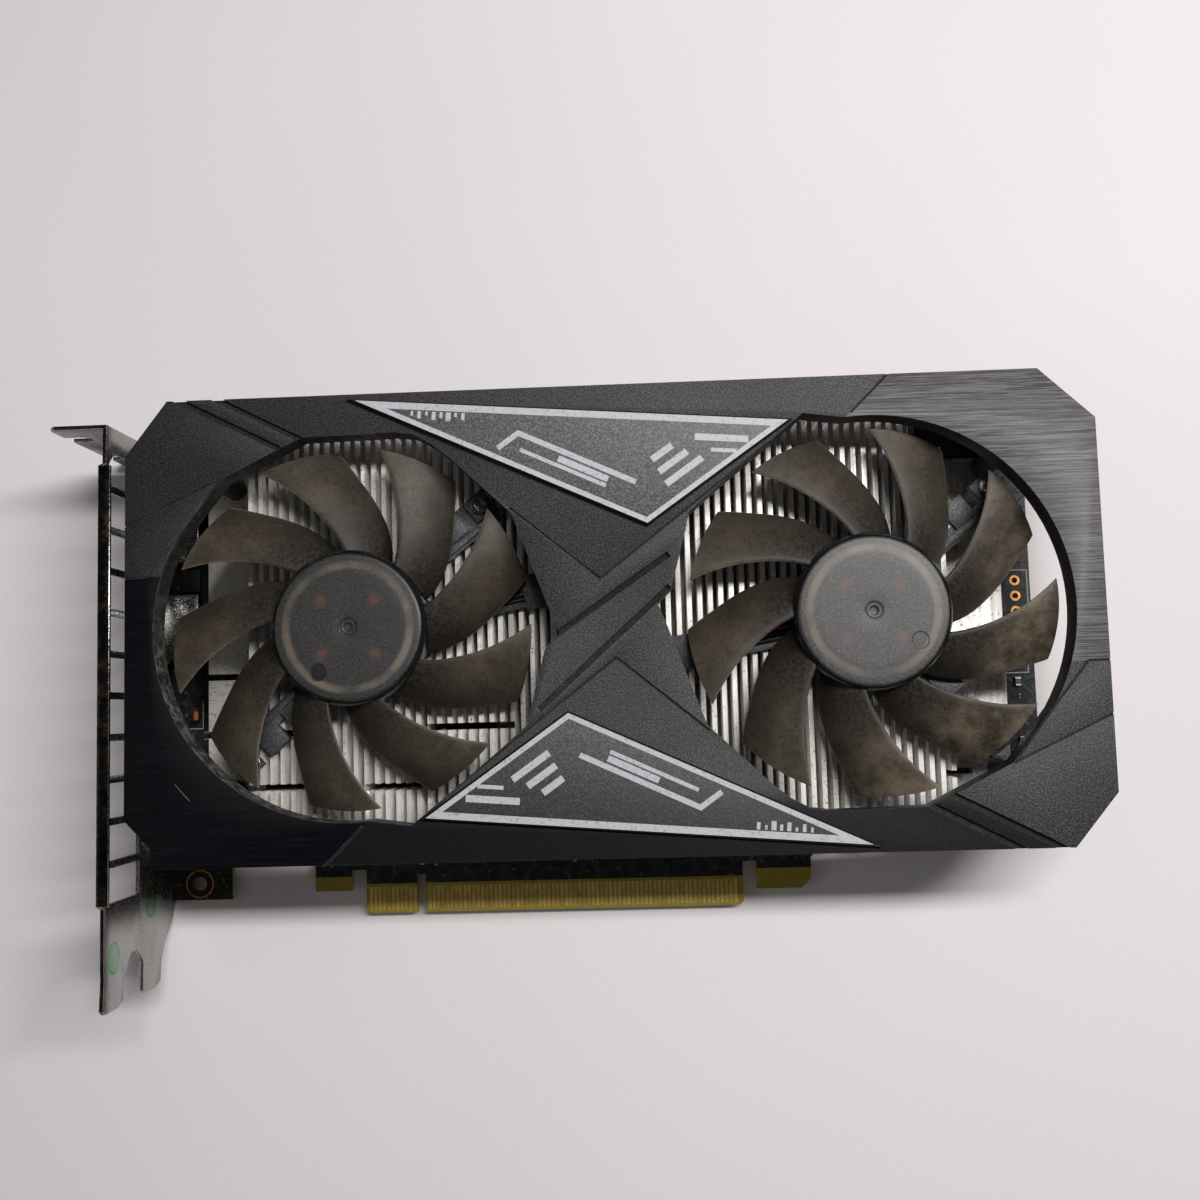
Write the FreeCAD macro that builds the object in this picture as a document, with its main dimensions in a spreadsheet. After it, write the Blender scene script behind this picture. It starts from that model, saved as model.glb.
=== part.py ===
import FreeCAD, Part
import math
import os
import sys

from FreeCAD import Placement, Rotation, Vector

# Two-slot graphics card lying on its back, fans up.
# X runs along the card from the slot bracket (-X), Y runs from the edge connector (-Y)
# to the top edge, and Z runs from the back of the board up to the fans.
# Most pieces are drawn about the middle of the shroud and moved to the row's origin,
# which is the middle of the whole card's footprint, at the level it lies on.

DIMENSIONS = [
    ("mid_x", 8.165), ("mid_y", 14.31),
    ("board_bottom", 1.47), ("board_thick", 1.57),
    ("board_left", -102.7), ("board_right", 94.6), ("board_back", 47.3), ("board_front", -50.5),
    ("finger_front", -62.65), ("finger_left", -57.87), ("finger_length", 85.2),
    ("key_start", 11.65), ("key_width", 1.9), ("contact_pitch", 1.0), ("contact_width", 0.7),
    ("contact_length", 5.2), ("contact_thick", 0.04),
    ("plate_left", -91.5), ("plate_right", 86.1), ("sink_front", -41.8), ("sink_back", 42.4),
    ("plate_gap", 4.5), ("plate_thick", 3.0), ("fin_height", 13.0),
    ("fin_start", -78.2), ("fin_pitch", 2.25), ("fin_count", 67), ("fin_thick", 1.1),
    ("package_x", -12.0), ("package_y", 4.0), ("package_side", 33.0), ("package_thick", 1.2),
    ("die_length", 20.0), ("die_width", 15.0), ("die_thick", 0.75), ("paste_thick", 0.05),
    ("shroud_bottom", 24.0), ("shroud_top", 39.0), ("shroud_skin", 2.0), ("shroud_wall", 1.8),
    ("duct_drop", 6.3), ("duct_wall", 1.5),
    ("opening_radius", 39.5), ("fan_x", 53.6), ("badge_thick", 1.5),
    ("groove_width", 1.3), ("groove_depth", 0.9), ("line_width", 0.5), ("line_depth", 0.35),
    ("bracket_face", -103.9), ("sheet_thick", 0.86), ("bracket_height", 38.74),
    ("bracket_back", 43.55), ("bracket_length", 120.02), ("tab_depth", 11.43),
    ("lip_rise", 2.06), ("lip_width", 2.5), ("slot_pitch", 20.32), ("notch_width", 4.42),
    ("vent_pitch", 8.6), ("vent_bar", 1.5), ("vent_bottom", 21.0), ("vent_top", 37.2),
    ("frame_bottom", 23.9), ("frame_thick", 1.6), ("frame_radius", 15.5), ("arm_reach", 39.3),
    ("arm_pad", 5.3), ("pad_rise", 0.9), ("cable_reach", 40.8),
    ("rotor_bottom", 26.4), ("rotor_top", 36.5), ("hub_radius", 16.1),
    ("hub_wall", 1.15), ("blade_tip", 37.7), ("blade_count", 9), ("shaft_radius", 1.5),
    ("bearing_radius", 3.2), ("bearing_gap", 0.03), ("wire_radius", 0.5), ("wire_pitch", 1.1),
]

doc = FreeCAD.newDocument("GraphicsCard")
sheet = doc.addObject("Spreadsheet::Sheet", "Sheet")
for row, (alias, number) in enumerate(DIMENSIONS, start=1):
    sheet.set("A%d" % row, alias)
    sheet.set("B%d" % row, str(number))
    sheet.setAlias("B%d" % row, alias)
doc.recompute()


def dim(alias):
    """One driving dimension, in millimetres."""
    return float(sheet.get(alias))


MIDDLE = Vector(dim("mid_x"), dim("mid_y"), 0)
BOARD_TOP = dim("board_bottom") + dim("board_thick")
PLATE_BOTTOM = BOARD_TOP + dim("plate_gap")
PLATE_TOP = PLATE_BOTTOM + dim("plate_thick")
FIN_TOP = PLATE_TOP + dim("fin_height")
BOARD_TOP_CELL = "Sheet.board_bottom + Sheet.board_thick"
PLATE_BOTTOM_CELL = BOARD_TOP_CELL + " + Sheet.plate_gap"
nodes = []


def keep(feature, label, x="Sheet.mid_x", y="Sheet.mid_y"):
    """Name a finished sub-part and move it from its drawing origin to its place on the card."""
    feature.Label = label
    feature.setExpression("Placement.Base.x", x)
    feature.setExpression("Placement.Base.y", y)
    nodes.append(feature)
    return feature


def keep_shape(shape, label, origin=MIDDLE):
    """A sub-part whose shape is made directly, moved to its place on the card."""
    feature = doc.addObject("Part::Feature", label)
    feature.Shape = shape
    feature.Placement = Placement(origin, Rotation())
    feature.Label = label
    nodes.append(feature)
    return feature


# ---- drawing helpers ----

def new_sketch(body, name, role, offset):
    """A sketch on one of the body's own origin planes, lifted by a sheet expression."""
    sketch = body.newObject("Sketcher::SketchObject", name)
    base = [item for item in body.Origin.OriginFeatures if item.Role == role][0]
    sketch.AttachmentSupport = [(base, "")]
    sketch.MapMode = "FlatFace"
    sketch.setExpression("AttachmentOffset.Base.z", offset)
    return sketch


def draw_polygon(sketch, points):
    for start, end in zip(points, points[1:] + points[:1]):
        sketch.addGeometry(Part.LineSegment(Vector(*start, 0), Vector(*end, 0)))


def draw_circle(sketch, x, y, radius):
    sketch.addGeometry(Part.Circle(Vector(x, y, 0), Vector(0, 0, 1), radius))


def pad(body, sketch, length):
    feature = body.newObject("PartDesign::Pad", sketch.Name + "_pad")
    feature.Profile = sketch
    feature.setExpression("Length", length)
    return feature


def pocket(body, sketch, length, upward=False):
    """Cut below the sketch, or above it when upward is true."""
    feature = body.newObject("PartDesign::Pocket", sketch.Name + "_pocket")
    feature.Profile = sketch
    feature.Reversed = upward
    feature.setExpression("Length", length)
    return feature


def rectangle(x0, y0, x1, y1):
    return [(x0, y0), (x1, y0), (x1, y1), (x0, y1)]


def block(x, y, z, length, width, height):
    """A box centred on x and y with its underside at z."""
    return Part.makeBox(length, width, height, Vector(x - length / 2, y - width / 2, z))


def disc(x, y, z, radius, height):
    return Part.makeCylinder(radius, height, Vector(x, y, z))


def turned(points):
    """The same outline turned half a turn about the middle of the shroud."""
    return [(-x, -y) for x, y in points]


def polar(radius, degrees):
    angle = math.radians(degrees)
    return radius * math.cos(angle), radius * math.sin(angle)


# ---- places shared by several pieces ----

COOLER_SCREWS = [(dim("package_x") + sx * 26.5, dim("package_y") + sy * 26.5)
                 for sx in (-1, 1) for sy in (-1, 1)]
SHROUD_SCREWS = [(-85.0, 34.0), (-85.0, -34.0), (83.4, 33.0), (83.4, -33.0)]
LUG_SCREWS = [(-97.5, 39.4), (-97.5, -46.0)]
SUPPORT_HOLE = (-96.2, -55.3)
PLATED_HOLES = [(91.2, 1.3), (91.2, 4.8), (91.2, 8.3)]
SOCKET_X = 77.5
PORTS = [("displayport_upper", 26.5, 16.9), ("hdmi_port", 3.0, 14.9),
         ("displayport_lower", -33.0, 16.9)]
PORT_HEIGHT = 5.9
HEADERS = [-10.3, 4.0]
HEADER_Y = 44.9


# ---- printed circuit board ----

def make_board():
    body = doc.addObject("PartDesign::Body", "pcb")
    left, right = dim("board_left"), dim("board_right")
    back, front = dim("board_back"), dim("board_front")
    tip, start = dim("finger_front"), dim("finger_left")
    key = start + dim("key_start")
    outline = [
        (left, back), (right, back), (right, front), (44.5, front), (42.6, front - 2), (42.6, -57.0),
        (40.4, -59.2), (30.4, -59.2), (30.4, -53.0), (start + dim("finger_length"), -53.0),
        (start + dim("finger_length"), tip + 0.8), (start + dim("finger_length") - 0.8, tip),
        (key + dim("key_width"), tip), (key + dim("key_width"), tip + 8.4), (key, tip + 8.4), (key, tip),
        (start + 0.8, tip), (start, tip + 0.8), (start, -53.0), (-61.1, -53.0), (-61.1, -57.6),
        (-69.5, -57.6), (-69.5, front), (-88.6, front), (-88.6, -58.9), (left, -58.9),
    ]
    sketch = new_sketch(body, "board_outline", "XY_Plane", "Sheet.board_bottom")
    draw_polygon(sketch, outline)
    pad(body, sketch, "Sheet.board_thick")
    holes = new_sketch(body, "board_holes", "XY_Plane", BOARD_TOP_CELL)
    for x, y in COOLER_SCREWS + SHROUD_SCREWS + LUG_SCREWS + [SUPPORT_HOLE]:
        draw_circle(holes, x, y, 1.6)
    for x, y in PLATED_HOLES:
        draw_circle(holes, x, y, 0.65)
    pocket(body, holes, "Sheet.board_thick")
    keep(body, "pcb")


def make_contacts():
    """Gold contacts on both faces of the edge connector, at the standard pitch."""
    first = dim("finger_left") + 1.1
    after_key = dim("finger_left") + dim("key_start") + dim("key_width") + 0.9
    centres = [first + step * dim("contact_pitch") for step in range(11)]
    centres += [after_key + step * dim("contact_pitch") for step in range(70)]
    middle = dim("finger_front") + 0.6 + dim("contact_length") / 2
    size = (dim("contact_width"), dim("contact_length"), dim("contact_thick"))
    strips = []
    for x in centres:
        strips.append(block(x, middle, BOARD_TOP, *size))
        strips.append(block(x, middle, dim("board_bottom") - dim("contact_thick"), *size))
    keep_shape(Part.makeCompound(strips), "edge_contacts")


# ---- chips and other parts on the board ----

def make_chips():
    x, y = dim("package_x"), dim("package_y")
    for label, length, width, height, level in (
            ("gpu_package", "Sheet.package_side", "Sheet.package_side", "Sheet.package_thick",
             BOARD_TOP_CELL),
            ("gpu_die", "Sheet.die_length", "Sheet.die_width", "Sheet.die_thick",
             BOARD_TOP_CELL + " + Sheet.package_thick"),
            ("thermal_compound", "Sheet.die_length", "Sheet.die_width", "Sheet.paste_thick",
             BOARD_TOP_CELL + " + Sheet.package_thick + Sheet.die_thick")):
        chip = doc.addObject("Part::Box", label)
        chip.setExpression("Length", length)
        chip.setExpression("Width", width)
        chip.setExpression("Height", height)
        chip.setExpression("Placement.Base.z", level)
        keep(chip, label, "Sheet.mid_x + Sheet.package_x - %s / 2" % length,
             "Sheet.mid_y + Sheet.package_y - %s / 2" % width)
    spots = [(x + sx * 27.5, y + sy * 8.5) for sx in (-1, 1) for sy in (-1, 1)]
    spots += [(x - 9.5, y - 27.5), (x + 9.5, y - 27.5)]
    chips = [block(cx, cy, BOARD_TOP, 12.0, 14.0, 1.1) for cx, cy in spots]
    keep_shape(Part.makeCompound(chips), "memory_chips")
    pads = [block(cx, cy, BOARD_TOP + 1.1, 11.0, 13.0, dim("plate_gap") - 1.1) for cx, cy in spots]
    keep_shape(Part.makeCompound(pads), "thermal_pads")


def make_power_stage():
    rows = [-26.0 + 10.5 * step for step in range(5)]
    coils = [block(48.0, y, BOARD_TOP, 7.0, 7.0, 4.2) for y in rows]
    keep_shape(Part.makeCompound(coils), "chokes")
    switches = [block(x, y, BOARD_TOP, 5.0, 6.0, 1.0) for y in rows for x in (39.5, 56.5)]
    keep_shape(Part.makeCompound(switches), "power_transistors")
    can_places = (-40.0, -32.0, 12.0, 20.0, 28.0, 46.0, 54.0, 62.0)
    cans = [disc(x, -45.2, BOARD_TOP, 3.1, 8.0) for x in can_places]
    keep_shape(Part.makeCompound(cans), "polymer_capacitors")
    small = [(-97.8, 14.2, 4.2, 5.2, 1.2), (-84.0, -45.0, 6.0, 5.0, 1.5), (-66.0, -44.5, 5.0, 5.0, 0.9),
             (-55.0, -45.0, 3.2, 2.5, 0.9), (36.0, -45.0, 4.0, 4.0, 0.9), (76.0, -44.0, 5.0, 4.0, 1.2),
             (-97.2, -16.8, 1.6, 3.2, 1.1), (-97.6, -21.5, 1.2, 2.0, 0.6), (90.6, -10.0, 2.0, 3.0, 0.9),
             (-60.0, 41.5, 5.0, 3.9, 1.5), (-35.0, 41.8, 3.0, 3.0, 0.9), (28.0, 41.6, 4.0, 4.0, 0.9)]
    bodies = [block(x, y, BOARD_TOP, length, width, height) for x, y, length, width, height in small]
    keep_shape(Part.makeCompound(bodies), "small_chips")
    behind = []
    for column in range(7):
        for line in range(5):
            x = dim("package_x") + (column - 3) * 3.4
            y = dim("package_y") + (line - 2) * 3.2
            behind.append(block(x, y, dim("board_bottom") - 0.8, 1.6, 0.8, 0.8))
    for x in (39.5, 48.0, 56.5):
        behind += [block(x, y, dim("board_bottom") - 0.9, 2.0, 1.25, 0.9) for y in rows]
    keep_shape(Part.makeCompound(behind), "back_capacitors")


def make_power_socket():
    """Eight-way socket on the back edge, open towards +Y."""
    pitch, front, back, height = 4.2, 35.9, 47.3, 10.6
    shell = block(SOCKET_X, (front + back) / 2, BOARD_TOP, 4 * pitch + 2.2, back - front, height)
    columns = [SOCKET_X + (step - 1.5) * pitch for step in range(4)]
    levels = [BOARD_TOP + 1.1, BOARD_TOP + 1.1 + pitch]
    cavities = [Part.makeBox(3.5, 9.0, 3.5, Vector(x - 1.75, back - 8.8, z))
                for x in columns for z in levels]
    latch = block(SOCKET_X, back - 3.2, BOARD_TOP + height, 5.0, 3.0, 1.2)
    tunnels = []
    pins = []
    for x in columns:
        for z in levels:
            pins.append(Part.makeBox(1.1, 10.0, 1.1, Vector(x - 0.55, back - 11.0, z + 1.2)))
            tunnels.append(Part.makeBox(1.1, 4.0, 1.1, Vector(x - 0.55, front - 1.0, z + 1.2)))
    keep_shape(shell.fuse(latch).cut(cavities + tunnels).removeSplitter(), "power_socket")
    keep_shape(Part.makeCompound(pins), "power_pins")


# ---- heatsink ----

def make_heatsink():
    """Extruded comb of fins on a flat plate, milled through in short cross slots."""
    body = doc.addObject("PartDesign::Body", "heatsink")
    profile = [(dim("plate_left"), PLATE_BOTTOM), (dim("plate_left"), PLATE_TOP)]
    for step in range(int(dim("fin_count"))):
        x = dim("fin_start") + step * dim("fin_pitch")
        profile += [(x, PLATE_TOP), (x, FIN_TOP), (x + dim("fin_thick"), FIN_TOP),
                    (x + dim("fin_thick"), PLATE_TOP)]
    profile += [(dim("plate_right"), PLATE_TOP), (dim("plate_right"), PLATE_BOTTOM)]
    comb = new_sketch(body, "comb", "XZ_Plane", "-Sheet.sink_back")
    draw_polygon(comb, profile)
    pad(body, comb, "Sheet.sink_back - Sheet.sink_front")
    foot = new_sketch(body, "foot", "XY_Plane", PLATE_BOTTOM_CELL)
    x, y, half = dim("package_x"), dim("package_y"), dim("package_side") / 2 - 2
    draw_polygon(foot, rectangle(x - half, y - half, x + half, y + half))
    pad(body, foot, "Sheet.plate_gap - Sheet.package_thick - Sheet.die_thick - Sheet.paste_thick")
    body.Tip.Reversed = True
    slots = new_sketch(body, "slots", "XY_Plane",
                       PLATE_BOTTOM_CELL + " + Sheet.plate_thick + Sheet.fin_height")
    left, right = dim("plate_left"), dim("plate_right")
    for x0, x1, y in ((left - 1, -76.8, -8.6), (left - 1, -66.4, -21.5), (-78.6, -65.4, -33.0),
                      (-53.2, -37.6, -33.4), (-39.9, -21.0, -21.0), (69.4, 77.8, -33.8)):
        draw_polygon(slots, rectangle(x0, y - 0.7, x1, y + 0.7))
    draw_polygon(slots, rectangle(65.3, 35.4, right + 1, dim("sink_back") + 1))
    pocket(body, slots, "Sheet.plate_thick + Sheet.fin_height")
    holes = new_sketch(body, "plate_holes", "XY_Plane", PLATE_BOTTOM_CELL)
    for x, y in SHROUD_SCREWS:
        draw_circle(holes, x, y, 1.3)
    pocket(body, holes, "Sheet.plate_thick", upward=True)
    taps = new_sketch(body, "tapped_holes", "XY_Plane", PLATE_BOTTOM_CELL)
    for x, y in COOLER_SCREWS:
        draw_circle(taps, x, y, 1.25)
    pocket(body, taps, "Sheet.plate_thick - 0.4", upward=True)
    keep(body, "heatsink")


# ---- screws ----

def screw(x, y, head_level, head_radius, head_height, shank_radius, shank_end):
    """A cross-headed screw whose head lies between head_level and head_level + head_height."""
    head = disc(x, y, head_level, head_radius, head_height)
    if shank_end > head_level:
        shank = disc(x, y, head_level + head_height, shank_radius, shank_end - head_level - head_height)
        face = head_level
    else:
        shank = disc(x, y, shank_end, shank_radius, head_level - shank_end)
        face = head_level + head_height
    drive = [block(x, y, face - 0.5, 0.5, head_radius * 1.1, 1.0),
             block(x, y, face - 0.5, head_radius * 1.1, 0.5, 1.0)]
    return head.fuse(shank).cut(drive).removeSplitter()


def make_board_screws():
    head = dim("board_bottom")
    cooler = [screw(x, y, 0, 2.6, head, 1.25, PLATE_TOP - 0.6) for x, y in COOLER_SCREWS]
    keep_shape(Part.makeCompound(cooler), "cooler_screws")
    shroud = [screw(x, y, 0, 2.4, head, 1.1, PLATE_TOP + 8.0) for x, y in SHROUD_SCREWS]
    keep_shape(Part.makeCompound(shroud), "shroud_screws")
    lug_top = BOARD_TOP + dim("sheet_thick")
    lugs = [screw(x, y, lug_top, 2.5, 1.5, 1.35, 0.3) for x, y in LUG_SCREWS]
    keep_shape(Part.makeCompound(lugs), "bracket_screws")


# ---- shroud ----

SHROUD_OUTLINE = [
    (-99.0, 36.5), (-90.3, 47.85), (88.0, 47.85), (99.0, 37.4), (99.0, -37.3),
    (90.2, -47.85), (-93.6, -47.85), (-93.6, -43.7), (-99.0, -38.0),
]
OPENING_CORNERS = [
    (4.7, -39.22), (13.0, -40.4), (31.1, -25.8), (36.7, -21.0), (37.3, -18.4), (40.7, -5.7),
    (43.6, -2.7), (41.9, 1.6), (34.4, 22.0), (22.2, 33.8), (18.1, 37.1), (14.4, 39.1), (10.5, 39.6),
    (-9.0, 39.2), (-25.5, 31.0), (-33.8, 20.44),
]


def opening_wire(level):
    """Left fan opening: a round stretch about the fan, closed by facets towards the middle."""
    corners = [Vector(x - dim("fan_x"), y, level) for x, y in OPENING_CORNERS]
    edges = [Part.LineSegment(a, b).toShape() for a, b in zip(corners, corners[1:])]
    x, y = polar(dim("opening_radius"), 215.0)
    halfway = Vector(x - dim("fan_x"), y, level)
    edges.append(Part.Arc(corners[-1], halfway, corners[0]).toShape())
    return Part.Wire(edges)


def wire_feature(name, wire):
    feature = doc.addObject("Part::Feature", name)
    feature.Shape = wire
    return feature


def extrusion(name, base, length):
    feature = doc.addObject("Part::Extrusion", name)
    feature.Base = base
    feature.DirMode = "Custom"
    feature.Dir = Vector(0, 0, 1)
    feature.Solid = True
    feature.setExpression("LengthFwd", length)
    return feature


def offset_wire(name, base, distance, join):
    feature = doc.addObject("Part::Offset2D", name)
    feature.Source = base
    feature.Mode = "Pipe"
    feature.Join = join
    feature.setExpression("Value", distance)
    return feature


def half_turn(name, source):
    """A copy of a feature turned half a turn about the middle of the shroud."""
    feature = doc.addObject("Part::Compound", name)
    feature.Links = [source]
    feature.Placement = Placement(Vector(), Rotation(Vector(0, 0, 1), 180))
    return feature


def groove(start, end, width, depth):
    """A straight channel cut into the top face between two points."""
    run = Vector(*end, 0) - Vector(*start, 0)
    bar = Part.makeBox(run.Length, width, depth + 1, Vector(0, -width / 2, dim("shroud_top") - depth))
    bar.rotate(Vector(), Vector(0, 0, 1), math.degrees(math.atan2(run.y, run.x)))
    bar.translate(Vector(*start, 0))
    return bar


def make_grooves():
    """Deep grooves and fine facet lines in the shroud's top face."""
    deep = [((-89.0, 48.5), (-66.8, 37.0)), ((-80.7, 48.3), (-62.4, 38.8))]
    fine = [((-99.5, 21.7), (-79.1, 31.1)), ((-79.1, 31.1), (-87.4, 20.4)), ((-87.4, 20.4), (-94.7, 11.4)),
            ((-94.7, 11.4), (-99.5, 11.3)), ((-50.3, -40.2), (-58.6, -48.4)),
            ((-19.5, 23.1), (-1.4, 8.0)), ((-1.4, 8.0), (33.4, 34.6))]
    cuts = []
    for width, depth, pairs in ((dim("groove_width"), dim("groove_depth"), deep),
                                (dim("line_width"), dim("line_depth"), fine)):
        for start, end in pairs:
            cuts.append(groove(start, end, width, depth))
            far_start, far_end = turned([start, end])
            cuts.append(groove(far_start, far_end, width, depth))
    for start, end in (((-10.8, -3.2), (12.6, 12.6)), ((-14.6, -18.1), (12.6, 6.0))):
        cuts.append(groove(start, end, dim("groove_width"), dim("groove_depth")))
    return cuts


def make_shroud():
    outline = Part.makePolygon([Vector(x, y, dim("shroud_bottom"))
                                for x, y in SHROUD_OUTLINE + SHROUD_OUTLINE[:1]])
    outer_wire = wire_feature("shroud_outline", outline)
    shell = extrusion("shroud_block", outer_wire, "Sheet.shroud_top - Sheet.shroud_bottom")
    inner_wire = offset_wire("shroud_inner_outline", outer_wire, "-Sheet.shroud_wall", "Intersection")
    hollow = extrusion("shroud_hollow", inner_wire,
                       "Sheet.shroud_top - Sheet.shroud_skin - Sheet.shroud_bottom")
    duct_base = dim("shroud_top") - dim("shroud_skin") - dim("duct_drop") + 2
    edge = wire_feature("opening_edge", opening_wire(duct_base))
    duct_edge = offset_wire("duct_edge", edge, "Sheet.duct_wall", "Intersection")
    duct = extrusion("left_duct", duct_edge, "Sheet.duct_drop - 1.5")
    mouth_edge = wire_feature("mouth_edge", opening_wire(duct_base - 2))
    mouth = extrusion("left_mouth", mouth_edge, "Sheet.duct_drop + 6")
    post_height = dim("shroud_top") - dim("shroud_skin") - PLATE_TOP + 0.5
    posts = doc.addObject("Part::Feature", "screw_posts")
    posts.Shape = Part.makeCompound([disc(x, y, PLATE_TOP, 2.4, post_height) for x, y in SHROUD_SCREWS])
    pilots = doc.addObject("Part::Feature", "pilot_holes")
    pilots.Shape = Part.makeCompound([disc(x, y, PLATE_TOP - 1, 1.1, 11.0) for x, y in SHROUD_SCREWS])
    lines = doc.addObject("Part::Feature", "surface_lines")
    lines.Shape = Part.makeCompound(make_grooves())
    skin = doc.addObject("Part::Cut", "shroud_skin")
    skin.Base, skin.Tool = shell, hollow
    solid = doc.addObject("Part::MultiFuse", "shroud_solid")
    solid.Shapes = [skin, duct, half_turn("right_duct", duct), posts]
    tools = doc.addObject("Part::Compound", "shroud_cuts")
    tools.Links = [mouth, half_turn("right_mouth", mouth), pilots, lines]
    return cut_feature("shroud", solid, tools)


def cut_feature(name, base, tool):
    feature = doc.addObject("Part::Cut", name)
    feature.Base = base
    feature.Tool = tool
    return keep(feature, name)


def make_badges():
    corners = [(-52.6, 46.7), (8.6, 18.4), (38.5, 39.1)]
    for label, points in (("upper_badge", corners), ("lower_badge", turned(corners))):
        body = doc.addObject("PartDesign::Body", label)
        sketch = new_sketch(body, label + "_outline", "XY_Plane", "Sheet.shroud_top")
        draw_polygon(sketch, points)
        plate = pad(body, sketch, "Sheet.badge_thick")
        doc.recompute()
        level = dim("shroud_top") + dim("badge_thick")
        rim = ["Edge%d" % number for number, edge in enumerate(plate.Shape.Edges, start=1)
               if abs(edge.BoundBox.ZMin - level) < 1e-6]
        chamfer = body.newObject("PartDesign::Chamfer", label + "_chamfer")
        chamfer.Base = (plate, rim)
        chamfer.Size = 0.3
        keep(body, label)


# ---- fans ----

# Each fan: side of the card, turn of its blades, its screw arms (direction and how far the arm
# spreads to its left), and the direction of its cable arm.
FANS = [("fan_left", -1, 0.0, [(38.4, 6.5), (222.4, 2.4)], 10.8),
        ("fan_right", 1, 9.0, [(38.4, 2.4), (307.4, 2.4)], 190.0)]
ARM_RIGHT = -1.0
PAD_MIDDLES = (21.4, 28.9, 36.65)
PAD_LEFT = 6.5
SCREW_ALONG, SCREW_ACROSS = 36.9, 3.8
FAN_SCREW_RADIUS = 0.5
HUB_CEILING = 35.0
TUBE_RADIUS, TUBE_TOP = 4.3, 31.4

# Motor rings, each as outer radius, inner radius, bottom and top.
YOKE_RING = (14.9, 13.8, 26.8, 34.9)
MAGNET_RING = (13.75, 12.3, 27.0, 34.0)
CORE_RING = (6.2, 4.3, 27.6, 31.6)
SHOE_RING = (11.6, 10.2, 27.6, 31.6)
BEARING_LEVELS = (24.8, 31.2)
SHAFT_LEVELS = (24.9, 35.0)
POLES, SHOE_SPREAD = 6, 48.0
TOOTH_WIDTH, TOOTH_LENGTH = 2.0, 5.4
COIL_WIDTH, COIL_LENGTH, COIL_MARGIN = 4.4, 3.2, 0.8
MOTOR_BOARD_RADIUS, MOTOR_BOARD_THICK = 14.0, 0.6


def blade_section(radius, leading, trailing, top, bottom, thick):
    """Closed outline of one blade section, standing across the blade's radius."""
    middle = (leading + trailing) / 2
    half = radius * math.radians(leading - trailing) / 2
    stations = [-1.0, -0.5, 0.0, 0.5, 1.0]
    upper, lower = [], []
    for part in stations:
        along = half * part
        level = (top + bottom) / 2 + (top - bottom) / 2 * part + 0.9 * (1 - part * part)
        body = thick * (1.0 - 0.55 * part * part)
        upper.append(Vector(radius, along, level + body / 2))
        lower.append(Vector(radius, along, level - body / 2))
    outline = Part.makePolygon(upper + lower[::-1] + upper[:1])
    outline.rotate(Vector(), Vector(0, 0, 1), middle)
    return outline


def make_blade():
    """Forward-swept blade: its leading edge is high and its trailing edge is low."""
    sections = [(15.4, 93.0, 59.5, 34.9, 28.6, 1.5), (21.0, 100.5, 69.0, 35.1, 28.5, 1.35),
                (26.5, 107.2, 79.2, 35.1, 28.7, 1.2), (32.0, 113.4, 88.0, 34.9, 29.0, 1.1),
                (dim("blade_tip"), 119.6, 94.6, 34.4, 29.4, 0.9)]
    return Part.makeLoft([blade_section(*section) for section in sections], True, False)


def make_impeller(fan, centre, phase):
    profile = doc.addObject("PartDesign::Body", fan + "_hub")
    sketch = new_sketch(profile, fan + "_hub_profile", "XZ_Plane", "0")
    base, top, outer = dim("rotor_bottom"), dim("rotor_top"), dim("hub_radius")
    inner = outer - dim("hub_wall")
    draw_polygon(sketch, [
        (0, HUB_CEILING), (1.5, HUB_CEILING), (1.5, 32.0), (3.2, 32.0), (3.2, HUB_CEILING),
        (inner, HUB_CEILING), (inner, base),
        (outer, base), (outer, top - 1.0), (outer - 1.0, top), (1.7, top), (1.4, top - 0.5), (0, top - 0.5)])
    turn = profile.newObject("PartDesign::Revolution", fan + "_hub_turn")
    turn.Profile = sketch
    turn.ReferenceAxis = (sketch, ["V_Axis"])
    turn.Angle = 360
    blades = doc.addObject("Part::Feature", fan + "_blades")
    first = make_blade()
    copies = []
    for step in range(int(dim("blade_count"))):
        copy = first.copy()
        copy.rotate(Vector(), Vector(0, 0, 1), phase + 360.0 / dim("blade_count") * step)
        copies.append(copy)
    blades.Shape = Part.makeCompound(copies)
    clear = doc.addObject("Part::Feature", fan + "_hub_clearance")
    clear.Shape = disc(0, 0, base - 1, inner, HUB_CEILING - base + 1)
    trimmed = doc.addObject("Part::Cut", fan + "_blades_trimmed")
    trimmed.Base, trimmed.Tool = blades, clear
    impeller = doc.addObject("Part::MultiFuse", fan + "_impeller")
    impeller.Shapes = [profile, trimmed]
    keep(impeller, fan + "_impeller", *centre)


def ring(outer, inner, bottom, top):
    return disc(0, 0, bottom, outer, top - bottom).cut(disc(0, 0, bottom - 1, inner, top - bottom + 2))


def stator_pole(angle):
    """One tooth with its curved shoe, and the coil wound around the tooth."""
    outer, _, bottom, top = CORE_RING
    height = top - bottom
    tooth = Part.makeBox(TOOTH_LENGTH, TOOTH_WIDTH, height, Vector(outer - 0.4, -TOOTH_WIDTH / 2, bottom))
    shoe_outer, shoe_inner, _, _ = SHOE_RING
    shoe = Part.makeCylinder(shoe_outer, height, Vector(0, 0, bottom), Vector(0, 0, 1), SHOE_SPREAD)
    shoe = shoe.cut(disc(0, 0, bottom - 1, shoe_inner, height + 2))
    shoe.rotate(Vector(), Vector(0, 0, 1), -SHOE_SPREAD / 2)
    coil = Part.makeBox(COIL_LENGTH, COIL_WIDTH, height + 2 * COIL_MARGIN,
                        Vector(outer + 0.4, -COIL_WIDTH / 2, bottom - COIL_MARGIN))
    coil = coil.cut(tooth)
    for piece in (tooth, shoe, coil):
        piece.rotate(Vector(), Vector(0, 0, 1), angle)
    return tooth, shoe, coil


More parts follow.
